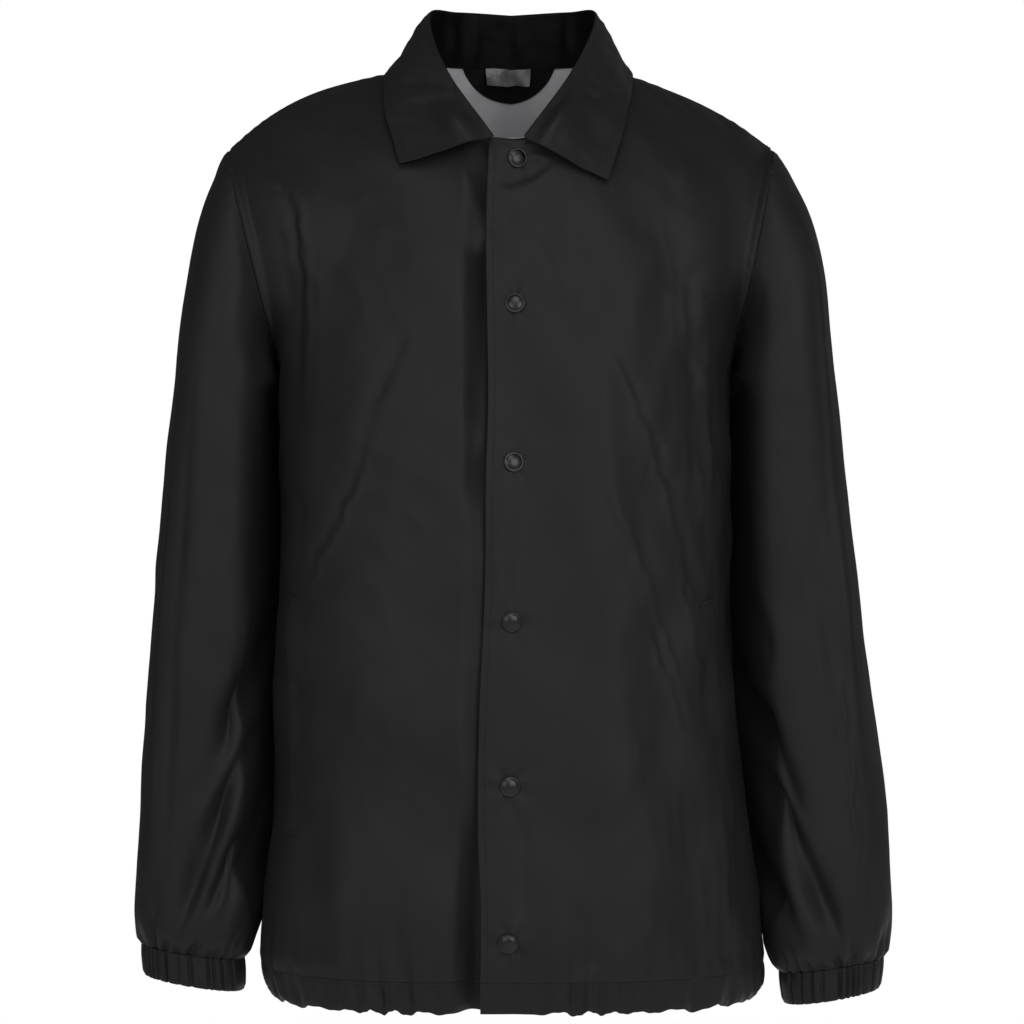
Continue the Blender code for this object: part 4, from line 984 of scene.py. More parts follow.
# Each sleeve is one piece of the nylon, closed by a seam under the arm and set into the armhole.
# It is fuller than its cuff, so it bunches over it in deep short folds, with long slanting folds
# inside the elbow.
Sleeve = namedtuple("Sleeve", "inner_z outer_z clear outer_right outer_left front back middle")
SLEEVES = (
    Sleeve(-0.249, -0.0861, 0.0018, 0.2333, 0.2204, 0.079, 0.084, 0.004),
    Sleeve(-0.256, -0.1177, 0.0018, 0.2440, 0.2352, 0.083, 0.087, 0.004),
    Sleeve(-0.264, -0.1620, 0.0018, 0.2524, 0.2451, 0.085, 0.088, 0.003),
    Sleeve(-0.278, -0.2117, 0.0018, 0.2598, 0.2504, 0.084, 0.087, 0.002),
    Sleeve(-0.300, -0.2654, 0.0018, 0.2648, 0.2555, 0.082, 0.085, 0.001),
    Sleeve(-0.350, -0.3397, 0.0017, 0.2722, 0.2637, 0.078, 0.081, -0.001),
    Sleeve(-0.424, -0.4234, 0.0017, 0.2795, 0.2738, 0.073, 0.076, -0.005),
    Sleeve(-0.513, -0.5127, 0.0018, 0.2857, 0.2855, 0.067, 0.069, -0.011),
    Sleeve(-0.596, -0.5917, 0.0020, 0.2897, 0.2945, 0.061, 0.062, -0.017),
    Sleeve(-0.655, -0.6440, 0.0022, 0.2913, 0.2962, 0.054, 0.055, -0.021),
    Sleeve(-0.684, -0.6740, 0.0065, 0.2912, 0.2945, 0.047, 0.048, -0.022),
    Sleeve(-0.700, -0.6880, 0.0135, 0.2885, 0.2910, 0.036, 0.037, -0.022),
)
CUFF_BOTTOM = Sleeve(-0.7245, -0.7120, 0.0190, 0.2865, 0.2880, 0.034, 0.035, -0.022)
LEFT_SLEEVE_DROP = 0.0105
LEFT_DROP_FROM = -0.300
SLEEVE_COLUMNS = 176
SLEEVE_ROWS = 190
SLEEVE_MEAN_RADIUS = 0.060
SLEEVE_SEED = {RIGHT: 101, LEFT: 131}
SLEEVE_LOOSENESS = 0.40

# Creases by the turn round the sleeve: 0 outside, 90 front, 180 inside, 270 back
SleeveCrease = namedtuple(
    "SleeveCrease", "side from_turn from_z bend_turn bend_z to_turn to_z width rise lean"
)
SLEEVE_CREASES = (
    SleeveCrease(RIGHT, 166, -0.425, 124, -0.504, 82, -0.590, 0.015, -0.0160, 0.2),
    SleeveCrease(RIGHT, 146, -0.512, 106, -0.594, 78, -0.684, 0.010, -0.0150, 0.3),
    SleeveCrease(RIGHT, 138, -0.590, 116, -0.634, 100, -0.664, 0.006, -0.0060, 0.3),
    SleeveCrease(RIGHT, 172, -0.545, 132, -0.622, 112, -0.684, 0.013, -0.0075, 0.3),
    SleeveCrease(RIGHT, 42, -0.220, 40, -0.430, 46, -0.640, 0.007, 0.0022, 0.0),
    SleeveCrease(RIGHT, 62, -0.240, 60, -0.440, 64, -0.640, 0.008, -0.0022, 0.0),
    SleeveCrease(RIGHT, 84, -0.120, 92, -0.200, 88, -0.300, 0.010, 0.0018, 0.0),
    SleeveCrease(RIGHT, 232, -0.420, 262, -0.490, 294, -0.570, 0.015, -0.0078, -0.2),
    SleeveCrease(RIGHT, 222, -0.520, 252, -0.590, 286, -0.668, 0.010, -0.0084, -0.3),
    SleeveCrease(RIGHT, 236, -0.470, 262, -0.545, 290, -0.625, 0.010, 0.0048, 0.0),
    SleeveCrease(RIGHT, 318, -0.200, 314, -0.420, 322, -0.640, 0.008, 0.0026, 0.0),
    SleeveCrease(LEFT, 152, -0.405, 128, -0.450, 138, -0.486, 0.009, -0.0050, 0.0),
    SleeveCrease(LEFT, 166, -0.455, 132, -0.524, 100, -0.600, 0.015, -0.0145, -0.2),
    SleeveCrease(LEFT, 150, -0.535, 106, -0.622, 80, -0.704, 0.011, -0.0165, -0.3),
    SleeveCrease(LEFT, 174, -0.585, 138, -0.645, 116, -0.690, 0.013, -0.0080, -0.3),
    SleeveCrease(LEFT, 63, -0.480, 66, -0.590, 57, -0.668, 0.0026, 0.0026, 0.0),
    SleeveCrease(LEFT, 58, -0.500, 60, -0.600, 51, -0.670, 0.0024, 0.0016, 0.0),
    SleeveCrease(LEFT, 44, -0.110, 50, -0.390, 54, -0.640, 0.008, 0.0038, 0.3),
    SleeveCrease(LEFT, 74, -0.340, 70, -0.450, 72, -0.560, 0.010, -0.0026, 0.0),
    SleeveCrease(LEFT, 228, -0.410, 258, -0.480, 290, -0.560, 0.015, -0.0078, -0.2),
    SleeveCrease(LEFT, 220, -0.530, 250, -0.600, 280, -0.676, 0.010, -0.0080, -0.3),
    SleeveCrease(LEFT, 232, -0.470, 260, -0.545, 286, -0.620, 0.010, 0.0048, 0.0),
    SleeveCrease(LEFT, 316, -0.200, 312, -0.420, 318, -0.640, 0.008, 0.0026, 0.0),
)

# Pleats that the elastic pulls into the cuff and the sleeve above it: how deep they are in each, how
# wide, how far they reach up the sleeve, and how far they swing round on the way
Pleat = namedtuple("Pleat", "turn cuff_depth sleeve_depth width reach swing")
PLEATS = {
    RIGHT: (
        Pleat(28, 0.0020, 0.0020, 3.5, 0.014, 0),
        Pleat(37, 0.0024, 0.0016, 2.4, 0.010, 0),
        Pleat(44, 0.0024, 0.0020, 2.4, 0.012, 0),
        Pleat(51, 0.0022, 0.0062, 4.5, 0.034, -2),
        Pleat(64, 0.0030, 0.0050, 3.2, 0.014, 5),
        Pleat(78, 0.0012, 0.0030, 4.5, 0.010, 0),
        Pleat(91, 0.0024, 0.0052, 3.5, 0.020, 8),
        Pleat(110, 0.0022, 0.0026, 2.6, 0.010, 0),
        Pleat(117, 0.0016, 0.0034, 3.2, 0.016, 4),
        Pleat(128, 0.0024, 0.0040, 3.5, 0.022, 6),
        Pleat(143, 0.0022, 0.0030, 3.5, 0.018, 0),
    ),
    LEFT: (
        Pleat(24, 0.0022, 0.0040, 4.0, 0.028, 0),
        Pleat(42, 0.0026, 0.0046, 3.2, 0.022, -3),
        Pleat(56, 0.0014, 0.0022, 4.5, 0.012, 0),
        Pleat(65, 0.0022, 0.0024, 2.4, 0.012, 0),
        Pleat(71, 0.0030, 0.0060, 3.6, 0.032, 1),
        Pleat(78, 0.0028, 0.0030, 2.4, 0.014, 0),
        Pleat(86, 0.0028, 0.0056, 3.0, 0.020, 6),
        Pleat(104, 0.0014, 0.0030, 4.0, 0.012, 0),
        Pleat(116, 0.0022, 0.0034, 3.4, 0.016, 4),
        Pleat(130, 0.0020, 0.0040, 3.6, 0.020, 4),
        Pleat(146, 0.0022, 0.0030, 3.6, 0.016, 0),
    ),
}
HIDDEN_PLEATS = 12
HIDDEN_FROM = 160
HIDDEN_TO = 372


def all_pleats(side):
    """The pleats of one cuff: those in front from the table, and like ones behind."""
    draws = np.random.default_rng(SLEEVE_SEED[side])
    step = (HIDDEN_TO - HIDDEN_FROM) / HIDDEN_PLEATS
    pleats = list(PLEATS[side])
    for number in range(HIDDEN_PLEATS):
        turn = HIDDEN_FROM + step * (number + draws.uniform(0.2, 0.8))
        depth = draws.uniform(0.0016, 0.0030)
        sleeve_depth = depth * draws.uniform(1, 2)
        width = draws.uniform(2.4, 4.2)
        reach = draws.uniform(0.010, 0.034)
        pleats.append(Pleat(turn, depth, sleeve_depth, width, reach, 0))
    return pleats


def pleat_rise(side, turns, above, depth_name, fullness, narrow):
    """Depth of the pleats round a cuff, or on the sleeve above it, and the fullness between them."""
    turns = turns[None, :] * np.ones_like(above)
    rise = np.full(turns.shape, float(fullness))
    for pleat in all_pleats(side):
        reach = np.exp(-((above / pleat.reach) ** 2))
        swung = pleat.turn + pleat.swing * above / pleat.reach
        away = (turns - swung + 180) % 360 - 180
        width = narrow * pleat.width * (1 + 0.9 * np.clip(above / pleat.reach, 0, 2))
        deep = getattr(pleat, depth_name) + fullness * 0.5
        rise -= deep * reach * np.exp(-((away / width) ** 2))
    return rise


def sleeve_section(side, row):
    """Inner end, outer end, depths and middle of one row of the sleeve table."""
    inner_x = half_width(side, row.inner_z) + row.clear
    outer_x = row.outer_right if side == RIGHT else row.outer_left
    drop = 0 if side == RIGHT else LEFT_SLEEVE_DROP
    inner_z = row.inner_z - drop * smooth_step(LEFT_DROP_FROM, CASING_TOP, row.inner_z)
    outer_z = row.outer_z - drop * smooth_step(LEFT_DROP_FROM, CASING_TOP, row.outer_z)
    return np.array([side * inner_x, inner_z, side * outer_x, outer_z, row.front, row.back, row.middle])


def sleeve_sections(side):
    """Sections evenly down the sleeve, from the armhole to the cuff."""
    first = np.concatenate([
        [side * half_width(side, UNDERARM), UNDERARM],
        [side * SHOULDER_X[side], SHOULDER_Z[side]],
        [ARMHOLE_FRONT, ARMHOLE_BACK, SIDE_SEAM_Y],
    ])
    table = np.array([first] + [sleeve_section(side, row) for row in SLEEVES])
    knots = np.arange(len(table))
    fine = np.linspace(0, len(table) - 1, CURVE_STEPS)
    middle = np.stack([spline(knots, (table[:, i] + table[:, i + 2]) / 2, fine) for i in (0, 1)], axis=1)
    run = np.concatenate([[0], np.cumsum(np.linalg.norm(np.diff(middle, axis=0), axis=1))])
    at = np.interp(np.linspace(0, run[-1], SLEEVE_ROWS + 1), run, fine)
    return np.stack([spline(knots, table[:, i], at) for i in range(table.shape[1])], axis=1)


def tube_rings(sections, turns):
    """A ring of points for each section."""
    return np.array([sleeve_ring(s[:2], s[2:4], s[4], s[5], s[6], turns) for s in sections])


# The front of a sleeve hangs nearly flat between two soft corners. From the inner one a steep wall runs
# back to where the sleeve lies against the body, so that a narrow dark gap shows between the two.
# Where the sleeve gets this form and loses it is given as a share of the way down it.
BOX_POWER = 3.2
BOX_SHARE = 0.85
BODY_GAP = {RIGHT: 0.29, LEFT: 0.30}
WALL_FRONT = 0.55
WALL_BACK = 0.55
GAP_OPENS = (0.01, 0.17)
GAP_CLOSES = (0.99, 0.86)
BOX_BEGINS = (0.0, 0.14)
BOX_ENDS = (0.99, 0.84)


def flattened(points, turns, sections, side):
    """Sleeve rings made squarer than the armhole and the cuff, with the gap beside the body."""
    across = signed_power(np.cos(np.radians(turns)), 2 / SLEEVE_ROUNDNESS)
    in_front = np.sin(np.radians(turns)) > 1e-9
    run = np.linspace(0, 1, len(sections))[:, None]
    opened = smooth_step(*GAP_OPENS, run) * smooth_step(*GAP_CLOSES, run)
    corner = 1 - BODY_GAP[side] * opened
    front = sections[:, 4:5]
    back = sections[:, 5:6]
    reach = np.abs(across) / np.where((across < 0) & in_front, corner, 1.0)
    curve = (1 - np.clip(reach, 0, 1) ** BOX_POWER) ** (1 / BOX_POWER)
    lip = np.where(across < 0, WALL_FRONT * opened * front, 0)
    end = np.where(across < 0, WALL_BACK * opened * front, 0)
    down = np.clip((np.abs(across) - corner) / np.maximum(1 - corner, 1e-6), 0, 1)
    wall = np.where(across < 0, (lip + end) * down, 0)
    target = np.where(in_front, wall - lip - (front - lip) * curve, end + (back - end) * curve)
    share = BOX_SHARE * smooth_step(*BOX_BEGINS, run) * smooth_step(*BOX_ENDS, run)
    moved = points.copy()
    moved[..., 1] += share * (sections[:, 6:7] + target - points[..., 1])
    return moved


def around_normals(points, facing):
    """Facing of a tube whose columns close round on themselves."""
    across = np.roll(points, -1, axis=1) - np.roll(points, 1, axis=1)
    return unit(facing * np.cross(across, np.gradient(points, axis=0)))


def closed_round(points, normals, flipped):
    """A tube's sheet, with its first column given again at the end."""
    ends = [np.concatenate([grid, grid[:, :1]], axis=1) for grid in (points, normals)]
    return Sheet(ends[0], ends[1], flipped)


# The inner side of the sleeve is drawn in towards the body, and stops just clear of its cloth
SLEEVE_PRESS = 0.0029
PRESS_TOP = (-0.240, -0.246)
PRESS_BOTTOM = (-0.675, -0.650)
INNER_SPAN = 22
INNER_CALM = 0.9
Press = namedtuple("Press", "height reach depth")
MORE_PRESS = {RIGHT: Press(-0.585, 0.040, 0.0018), LEFT: Press(-0.252, 0.014, 0.0032)}
SIDE_CLEARANCE = 0.0006
CLEAR_FADE = 0.010
SLEEVE_FULLNESS = 0.0036
SLEEVE_NARROW = 0.9
FOLDS_REACH = (0.090, 0.020)
CUFF_SEAM_SHARE = 0.35
CUFF_SEAM_REACH = 0.006


def clear_of_side(points, turns, side):
    """Sleeve points below the underarm, moved out to just clear of the body's cloth."""
    body = (fronts[side], backs[side])
    places = np.concatenate([sheet.points.reshape(-1, 3) for sheet in body])
    facings = np.concatenate([sheet.normals.reshape(-1, 3) for sheet in body])
    tree = KDTree(len(places))
    for number, place in enumerate(places):
        tree.insert(place, number)
    tree.balance()
    share = smooth_step(UNDERARM, UNDERARM - CLEAR_FADE, points[..., 2])
    share = share * (np.cos(np.radians(turns)) < 0)[None, :]
    moved = points.copy()
    for index in zip(*np.nonzero(share)):
        near = tree.find(points[index])[1]
        height = (points[index] - places[near]) @ facings[near]
        lift = max(SIDE_CLEARANCE - height, 0) * share[index]
        moved[index] += facings[near] * lift
    return moved


def dressed_sleeve(side):
    """The cloth of one sleeve, from the armhole down to the cuff."""
    front_turns = armhole_turns(side, "front", SLEEVE_COLUMNS // 2)
    back_turns = armhole_turns(side, "back", SLEEVE_COLUMNS // 2)
    turns = np.concatenate([front_turns, back_turns[::-1][1:-1]])
    sections = sleeve_sections(side)
    points = flattened(tube_rings(sections, turns), turns, sections, side)
    from_armhole = lengths_along(points, 0)
    points[..., 1] += armhole_dip(side, turns % 360) * np.exp(-((from_armhole / SLEEVE_DIP_REACH) ** 2))
    normals = around_normals(points, -side)
    normals[0] = armhole_normals(side, turns)
    arc = math.radians(1) * SLEEVE_MEAN_RADIUS
    creases = []
    for crease in SLEEVE_CREASES:
        if crease.side == side:
            bent = crease._replace(
                from_turn=crease.from_turn * arc,
                bend_turn=crease.bend_turn * arc,
                to_turn=crease.to_turn * arc,
            )
            creases.append(Crease(*bent))
    above = from_armhole[-1:] - from_armhole
    around = lengths_along(points, 1)
    rise = crease_rise(creases, turns[None, :] * arc * np.ones_like(above), points[..., 2])
    inner = np.exp(-(((turns - 180) / INNER_SPAN) ** 2))[None, :]
    rise = (rise + SLEEVE_LOOSENESS * loose_cloth(points, SLEEVE_SEED[side])) * (1 - INNER_CALM * inner)
    z = points[..., 2]
    more = MORE_PRESS[side]
    press = SLEEVE_PRESS + more.depth * np.exp(-(((z - more.height) / more.reach) ** 2))
    rise += press * inner * smooth_step(*PRESS_TOP, z) * smooth_step(*PRESS_BOTTOM, z)
    rise *= smooth_step(0, CREASE_FADE, from_armhole) * smooth_step(0, CREASE_FADE, above)
    rise += seam_relief(from_armhole, around, SLEEVE_SEED[side] + 4) * (1 - inner)
    folds = pleat_rise(side, turns, above, "sleeve_depth", SLEEVE_FULLNESS, SLEEVE_NARROW)
    at_seam = CUFF_SEAM_SHARE + (1 - CUFF_SEAM_SHARE) * smooth_step(0, CUFF_SEAM_REACH, above)
    folds *= smooth_step(*FOLDS_REACH, above) * at_seam
    points = clear_of_side(points + normals * (rise + folds)[..., None], turns, side)
    normals = around_normals(points, -side)
    normals[0] = armhole_normals(side, turns)
    points[0, :, 0] += side * SEAM_GAP / 2
    return closed_round(points, normals, side > 0)


for side in (RIGHT, LEFT):
    sleeve_sheet = dressed_sleeve(side)
    sleeve = cloth_shell(
        "sleeve_" + WORD[side] + "_cloth", [sleeve_sheet], CLOTH, [black_nylon, grey_coating]
    )
    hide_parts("sleeve_" + WORD[side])

# Each cuff is a short casing of the nylon folded over a flat elastic and sewn to the sleeve's end.
# The elastic pulls it into uneven pleats.
CASING_WALL = 0.0020
CUFF_COLUMNS = 352
CUFF_ROWS = 14
CUFF_GAP = 0.0009
CUFF_FULLNESS = 0.0016
CUFF_NARROW = 0.55
CUFF_STITCH = 0.0035
CUFF_TURN_IN = 0.0012
CUFF_TURN_FROM = 0.85
CUFF_SWELL = (0.55, 1.0, 1.0, 0.8)

casing_nylon = woven_nylon("casing_nylon", 0.0140, 0.0175, 0.50, 0.012, 0.15)


def dressed_cuff(side):
    """The gathered elastic casing at the end of a sleeve."""
    turns = np.linspace(180, -180, CUFF_COLUMNS, endpoint=False)
    top = sleeve_section(side, SLEEVES[-1])
    bottom = sleeve_section(side, CUFF_BOTTOM)
    share = np.linspace(0, 1, CUFF_ROWS + 1)
    sections = top + (bottom - top) * share[:, None]
    sections[:, [1, 3]] -= CUFF_GAP
    points = tube_rings(sections, turns)
    normals = around_normals(points, -side)
    swell = spline(np.linspace(0, 1, len(CUFF_SWELL)), CUFF_SWELL, share)[:, None]
    level = np.zeros_like(points[..., 0])
    rise = swell * pleat_rise(side, turns, level, "cuff_depth", CUFF_FULLNESS, CUFF_NARROW)
    rise -= CUFF_TURN_IN * smooth_step(CUFF_TURN_FROM, 1, share)[:, None]
    points = points + normals * rise[..., None]
    return closed_round(points, around_normals(points, -side), side > 0)


for side in (RIGHT, LEFT):
    cuff_sheet = dressed_cuff(side)
    cuff = cloth_shell(
        "cuff_" + WORD[side] + "_casing", [cuff_sheet], CASING_WALL, [casing_nylon]
    )
    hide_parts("cuff_" + WORD[side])
    lines = [inset_line(cuff_sheet, "first", CUFF_STITCH)]
    cuff_sewing = sewing("cuff_" + WORD[side] + "_sewing", lines, black_thread)

# The hem is a casing of the nylon, turned up and stitched along its top, with an elastic through it.
# It is gathered all round but for the lap, where the two fronts lie flat on each other.
HEM_BOTTOM = -0.727
HEM_COLUMNS = 160
HEM_ROWS = 12
HEM_GATHER = 0.0026
HEM_EDGE_RIPPLE = 0.0022
HEM_RIPPLE_FROM = 0.5
HEM_TURN_IN = 0.0014
HEM_TURN_FROM = 0.82
HEM_STITCH = 0.0030
HEM_SWELL = (0.45, 0.9, 1.0, 0.9)


def dressed_hem(side, face):
    """Half of the gathered hem casing on one face."""
    heights = np.linspace(CASING_TOP - SEAM_GAP, HEM_BOTTOM, HEM_ROWS + 1)
    rows = []
    for height in heights:
        middle = middle_line(side, face, np.array([height]))[0]
        outer = np.array([side * half_width(side, height), SIDE_SEAM_Y, height])
        rows.append(cross_row(side, middle, outer, SIDE_TURN, 2 / BODY_ROUNDNESS, 1.0, HEM_COLUMNS))
    points = np.array(rows)
    facing = side if face == "front" else -side
    normals = unit(grid_normals(points, -facing) * np.array([1.0, 1.0, 0.0]))
    if face == "back":
        normals[:, 0] = (0, 1, 0)
    normals[:, -1] = (side, 0, 0)
    share = np.linspace(0, 1, HEM_COLUMNS + 1)[None, :] * np.ones((len(points), 1))
    down = np.linspace(0, 1, HEM_ROWS + 1)[:, None]
    swell = spline(np.linspace(0, 1, len(HEM_SWELL)), HEM_SWELL, down)
    wave = hem_wave(side, face, share, points[..., 0])
    rise = HEM_GATHER * swell * wave - HEM_TURN_IN * smooth_step(HEM_TURN_FROM, 1, down)
    points = points + normals * rise[..., None]
    points[..., 2] += HEM_EDGE_RIPPLE * wave * smooth_step(HEM_RIPPLE_FROM, 1, down)
    points[:, -1, 1] += (-1 if face == "front" else 1) * SEAM_GAP / 2
    if face == "front":
        points = behind_lap(points) if side == RIGHT else wavering_lap(points)
    return Sheet(points, normals, (face == "front") == (side == RIGHT))


for side in (RIGHT, LEFT):
    hem_sheet = dressed_hem(side, "front")
    hem = cloth_shell(
        "hem_front_" + WORD[side] + "_casing", [hem_sheet], CASING_WALL, [casing_nylon]
    )
    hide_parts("hem_front_" + WORD[side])
    lines = [inset_line(hem_sheet, "first", HEM_STITCH)]
    hem_sewing = sewing("hem_front_" + WORD[side] + "_sewing", lines, black_thread)

hem_sheets = [dressed_hem(side, "back") for side in (RIGHT, LEFT)]
hem_sheets[1].points[:, 0] = hem_sheets[0].points[:, 0]
hem = cloth_shell("hem_back_casing", hem_sheets, CASING_WALL, [casing_nylon])
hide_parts("hem_back")
lines = [inset_line(sheet, "first", HEM_STITCH) for sheet in hem_sheets]
hem_sewing = sewing("hem_back_sewing", lines, black_thread)

# The collar is two layers of the nylon in one band: it stands up from the neck seam, rolls over and
# lies on the shoulders as two pointed leaves. Its free edge is turned and topstitched.
COLLAR_WALL = 0.0016
COLLAR_COLUMNS = 80
COLLAR_FRONT_ANGLE = 11.0
COLLAR_GAP = 0.0006
STAND_ROWS = 14
ROLL_ROWS = 10
LEAF_ROWS = 32
ROLL_RADIUS = 0.0024
LEAF_BULGE = 0.006
LEAF_CLEARANCE = 0.0030
LEAF_FRONT_CLEARANCE = 0.0050
COLLAR_LOOSENESS = 0.0007
COLLAR_CRUMPLE_SIZE = 0.05
COLLAR_FINE_SIZE = 0.032
COLLAR_STITCH = 0.006
COLLAR_PUCKER = 0.0004
COLLAR_PUCKER_LENGTH = 0.0085
COLLAR_PUCKER_REACH = 0.006
COLLAR_PUCKER_WANDER = 0.05
COLLAR_SEED = 171
STAND_FOLD = 0.0030
STAND_FOLD_WIDTH = 0.0045
STAND_FOLD_ROWS = 6
STAND_FOLDS_X = (-0.0465, -0.0290, 0.0060, 0.0460)
STAND_HANG = 0.0042
STAND_HANG_IN = 0.0018

Collar = namedtuple(
    "Collar", "angle roll_right roll_left roll_y roll_z right_x right_y right_z left_x left_y left_z"
)
COLLARS = (
    Collar(11, 0.0130, 0.0100, -0.1000, -0.0662, 0.0850, -0.094, -0.086, 0.0740, -0.098, -0.100),
    Collar(52, 0.0495, 0.0475, -0.0540, -0.0100, 0.0980, -0.055, -0.039, 0.0900, -0.056, -0.045),
    Collar(100, 0.0635, 0.0665, 0.0080, 0.0430, 0.0965, 0.006, -0.006, 0.0935, 0.006, -0.008),
    Collar(140, 0.0420, 0.0450, 0.0430, 0.0490, 0.0700, 0.080, -0.004, 0.0700, 0.080, -0.004),
    Collar(180, 0.0000, 0.0000, 0.0540, 0.0480, 0.0000, 0.098, -0.014, 0.0000, 0.098, -0.014),
)
COLLAR_CREASES = (
    Crease(RIGHT, -0.096, -0.018, -0.075, -0.019, -0.050, -0.024, 0.0034, -0.0042, 0.0),
    Crease(RIGHT, -0.082, -0.036, -0.062, -0.037, -0.038, -0.032, 0.0030, -0.0036, 0.0),
    Crease(LEFT, 0.090, -0.020, 0.072, -0.030, 0.050, -0.034, 0.0040, -0.0034, 0.0),
)


def collar_curve(side, angles, names):
    """Three columns of the collar table as one curve over the angle."""
    curves = [spline(column(COLLARS, "angle"), column(COLLARS, name), angles) for name in names]
    return np.stack([side * curves[0], curves[1], curves[2]], axis=1)


LIFT_ROUNDS = 8
SPREAD_ROUNDS = 45
LIFT_FROM_ROLL = 0.25
LEAF_FRONT_Y = -0.045
BODY_COLUMNS = 60


def spread_out(grid):
    """Each point of a grid averaged with its neighbours."""
    wide = np.pad(grid, ((1, 1), (1, 1), (0, 0)), mode="edge")
    beside = wide[:-2, 1:-1] + wide[2:, 1:-1] + wide[1:-1, :-2] + wide[1:-1, 2:]
    return (beside + 4 * grid) / 8


def clear_of_body(leaf):
    """The leaf lifted smoothly off the body until it clears it."""
    body = []
    facing = []
    inside = []
    for side in (RIGHT, LEFT):
        for face in ("front", "back"):
            upper = body_panel(side, face, BODY_COLUMNS)[0][LOWER_ROWS:]
            body.append(upper.reshape(-1, 3))
            facing.append(grid_normals(upper, side if face == "front" else -side).reshape(-1, 3))
            inside.append((np.ones(upper.shape[:2]) * (np.arange(BODY_COLUMNS + 1) > 0)).ravel())
    body = np.concatenate(body)
    facing = np.concatenate(facing)
    inside = np.concatenate(inside)
    tree = KDTree(len(body))
    for number, place in enumerate(body):
        tree.insert(place, number)
    tree.balance()
    lifted = leaf.copy()
    forward = np.array([0.0, -1.0, 0.0])
    for _ in range(LIFT_ROUNDS):
        lift = np.zeros_like(lifted)
        for index in np.ndindex(lifted.shape[:2]):
            near = tree.find(lifted[index])[1]
            height = (lifted[index] - body[near]) @ facing[near]
            in_front = smooth_step(0.0, LEAF_FRONT_Y, lifted[index][1])
            clearance = LEAF_CLEARANCE + (LEAF_FRONT_CLEARANCE - LEAF_CLEARANCE) * in_front
            way = unit(facing[near] * (1 - in_front) + forward * in_front)
            lift[index] = inside[near] * max(0, clearance - height) * way
        for _ in range(SPREAD_ROUNDS):
            lift = spread_out(lift)
        from_roll = smooth_step(0, LIFT_FROM_ROLL, np.linspace(0, 1, len(lifted)))
        lifted = lifted + lift * from_roll[:, None, None]
    return lifted


BACK_STAND = (-0.020, 0.020)
FRONT_SWELL = (0.0, -0.06)
FRONT_CREASING = (0.03, -0.02)


def dressed_collar():
    """Stand and leaf in one sheet, from the neckline over the roll to the free edge."""
    angles = np.linspace(COLLAR_FRONT_ANGLE, 180, COLLAR_COLUMNS + 1)
    halves = []
    for side in (RIGHT, LEFT):
        word = WORD[side]
        roll = collar_curve(side, angles, ("roll_" + word, "roll_y", "roll_z"))
        edge = collar_curve(side, angles, (word + "_x", word + "_y", word + "_z"))
        halves.append((neckline(side, angles), roll, edge))
    seam, roll, edge = (np.concatenate([r, l[::-1][1:]]) for r, l in zip(*halves))
    seam = seam + unit(roll - seam) * COLLAR_GAP
    at_back = smooth_step(*BACK_STAND, seam[:, 1])[:, None]
    inward = unit((np.array([0.0, NECK_MIDDLE_Y, 0.0]) - seam) * np.array([1.0, 1.0, 0.0]))
    lower = seam + at_back * (STAND_HANG_IN * inward - STAND_HANG * np.array([0.0, 0.0, 1.0]))
    up = unit(roll - (seam + edge) / 2)
    out = edge - seam
    out = unit(out - (out * up).sum(axis=1, keepdims=True) * up)
    over_start = roll - ROLL_RADIUS * (out + up)
    rows = [lower + (over_start - lower) * share for share in np.linspace(0, 1, STAND_ROWS, endpoint=False)]
    for turn in np.linspace(0, math.pi, ROLL_ROWS + 1):
        rows.append(roll + ROLL_RADIUS * (-math.cos(turn) * out + (math.sin(turn) - 1) * up))
    start = rows[-1]
    in_front = smooth_step(*FRONT_SWELL, roll[:, 1])[:, None]
    swell = unit(unit(out + up) * (1 - in_front) + np.array([0.0, -1.0, 0.0]) * in_front)
    control = (start + edge) / 2 + LEAF_BULGE * swell
    leaf = []
    for share in np.linspace(0, 1, LEAF_ROWS + 1)[1:]:
        leaf.append(start * (1 - share) ** 2 + 2 * control * share * (1 - share) + edge * share**2)
    leaf = clear_of_body(np.array(leaf))
    points = np.concatenate([rows, leaf])
    normals = grid_normals(points, 1)
    level = np.arange(len(points))[:, None] * np.ones(points.shape[1])
    on_leaf = smooth_step(STAND_ROWS + ROLL_ROWS / 2, STAND_ROWS + ROLL_ROWS + 4, level)
    on_stand = 1 - smooth_step(STAND_ROWS * 0.5, STAND_ROWS + ROLL_ROWS * 0.5, level)
    x = points[..., 0]
    z = points[..., 2]
    front_half = smooth_step(*FRONT_CREASING, points[..., 1])
    rise = crease_rise(COLLAR_CREASES, x, z) * on_leaf * front_half
    loose = crumple(x + points[..., 1], z, COLLAR_CRUMPLE_SIZE, COLLAR_SEED)
    fine = crumple(x + points[..., 1], 1.6 * z, COLLAR_FINE_SIZE, COLLAR_SEED + 2)
    loose = loose - 0.8 * np.abs(fine)
    rise += COLLAR_LOOSENESS * loose * (on_leaf + on_stand * smooth_step(1, 9, level))
    for fold_x in STAND_FOLDS_X:
        fold = np.exp(-(((x - fold_x) / STAND_FOLD_WIDTH) ** 2))
        rise += STAND_FOLD * on_stand * smooth_step(0, STAND_FOLD_ROWS, level) * fold
    from_seam = lengths_along(points, 0)
    to_edge = from_seam[-1:] - from_seam
    along = lengths_along(points, 1)
    wander = crumple(along, np.zeros_like(along), COLLAR_PUCKER_WANDER, COLLAR_SEED + 1)
    pucker = np.sin(2 * np.pi * along / COLLAR_PUCKER_LENGTH + 2 * wander) * (0.6 + 0.4 * wander)
    rise += COLLAR_PUCKER * pucker * np.exp(-(((to_edge - COLLAR_STITCH) / COLLAR_PUCKER_REACH) ** 2))
    points = points + normals * rise[..., None]
    return Sheet(points, grid_normals(points, 1), False)


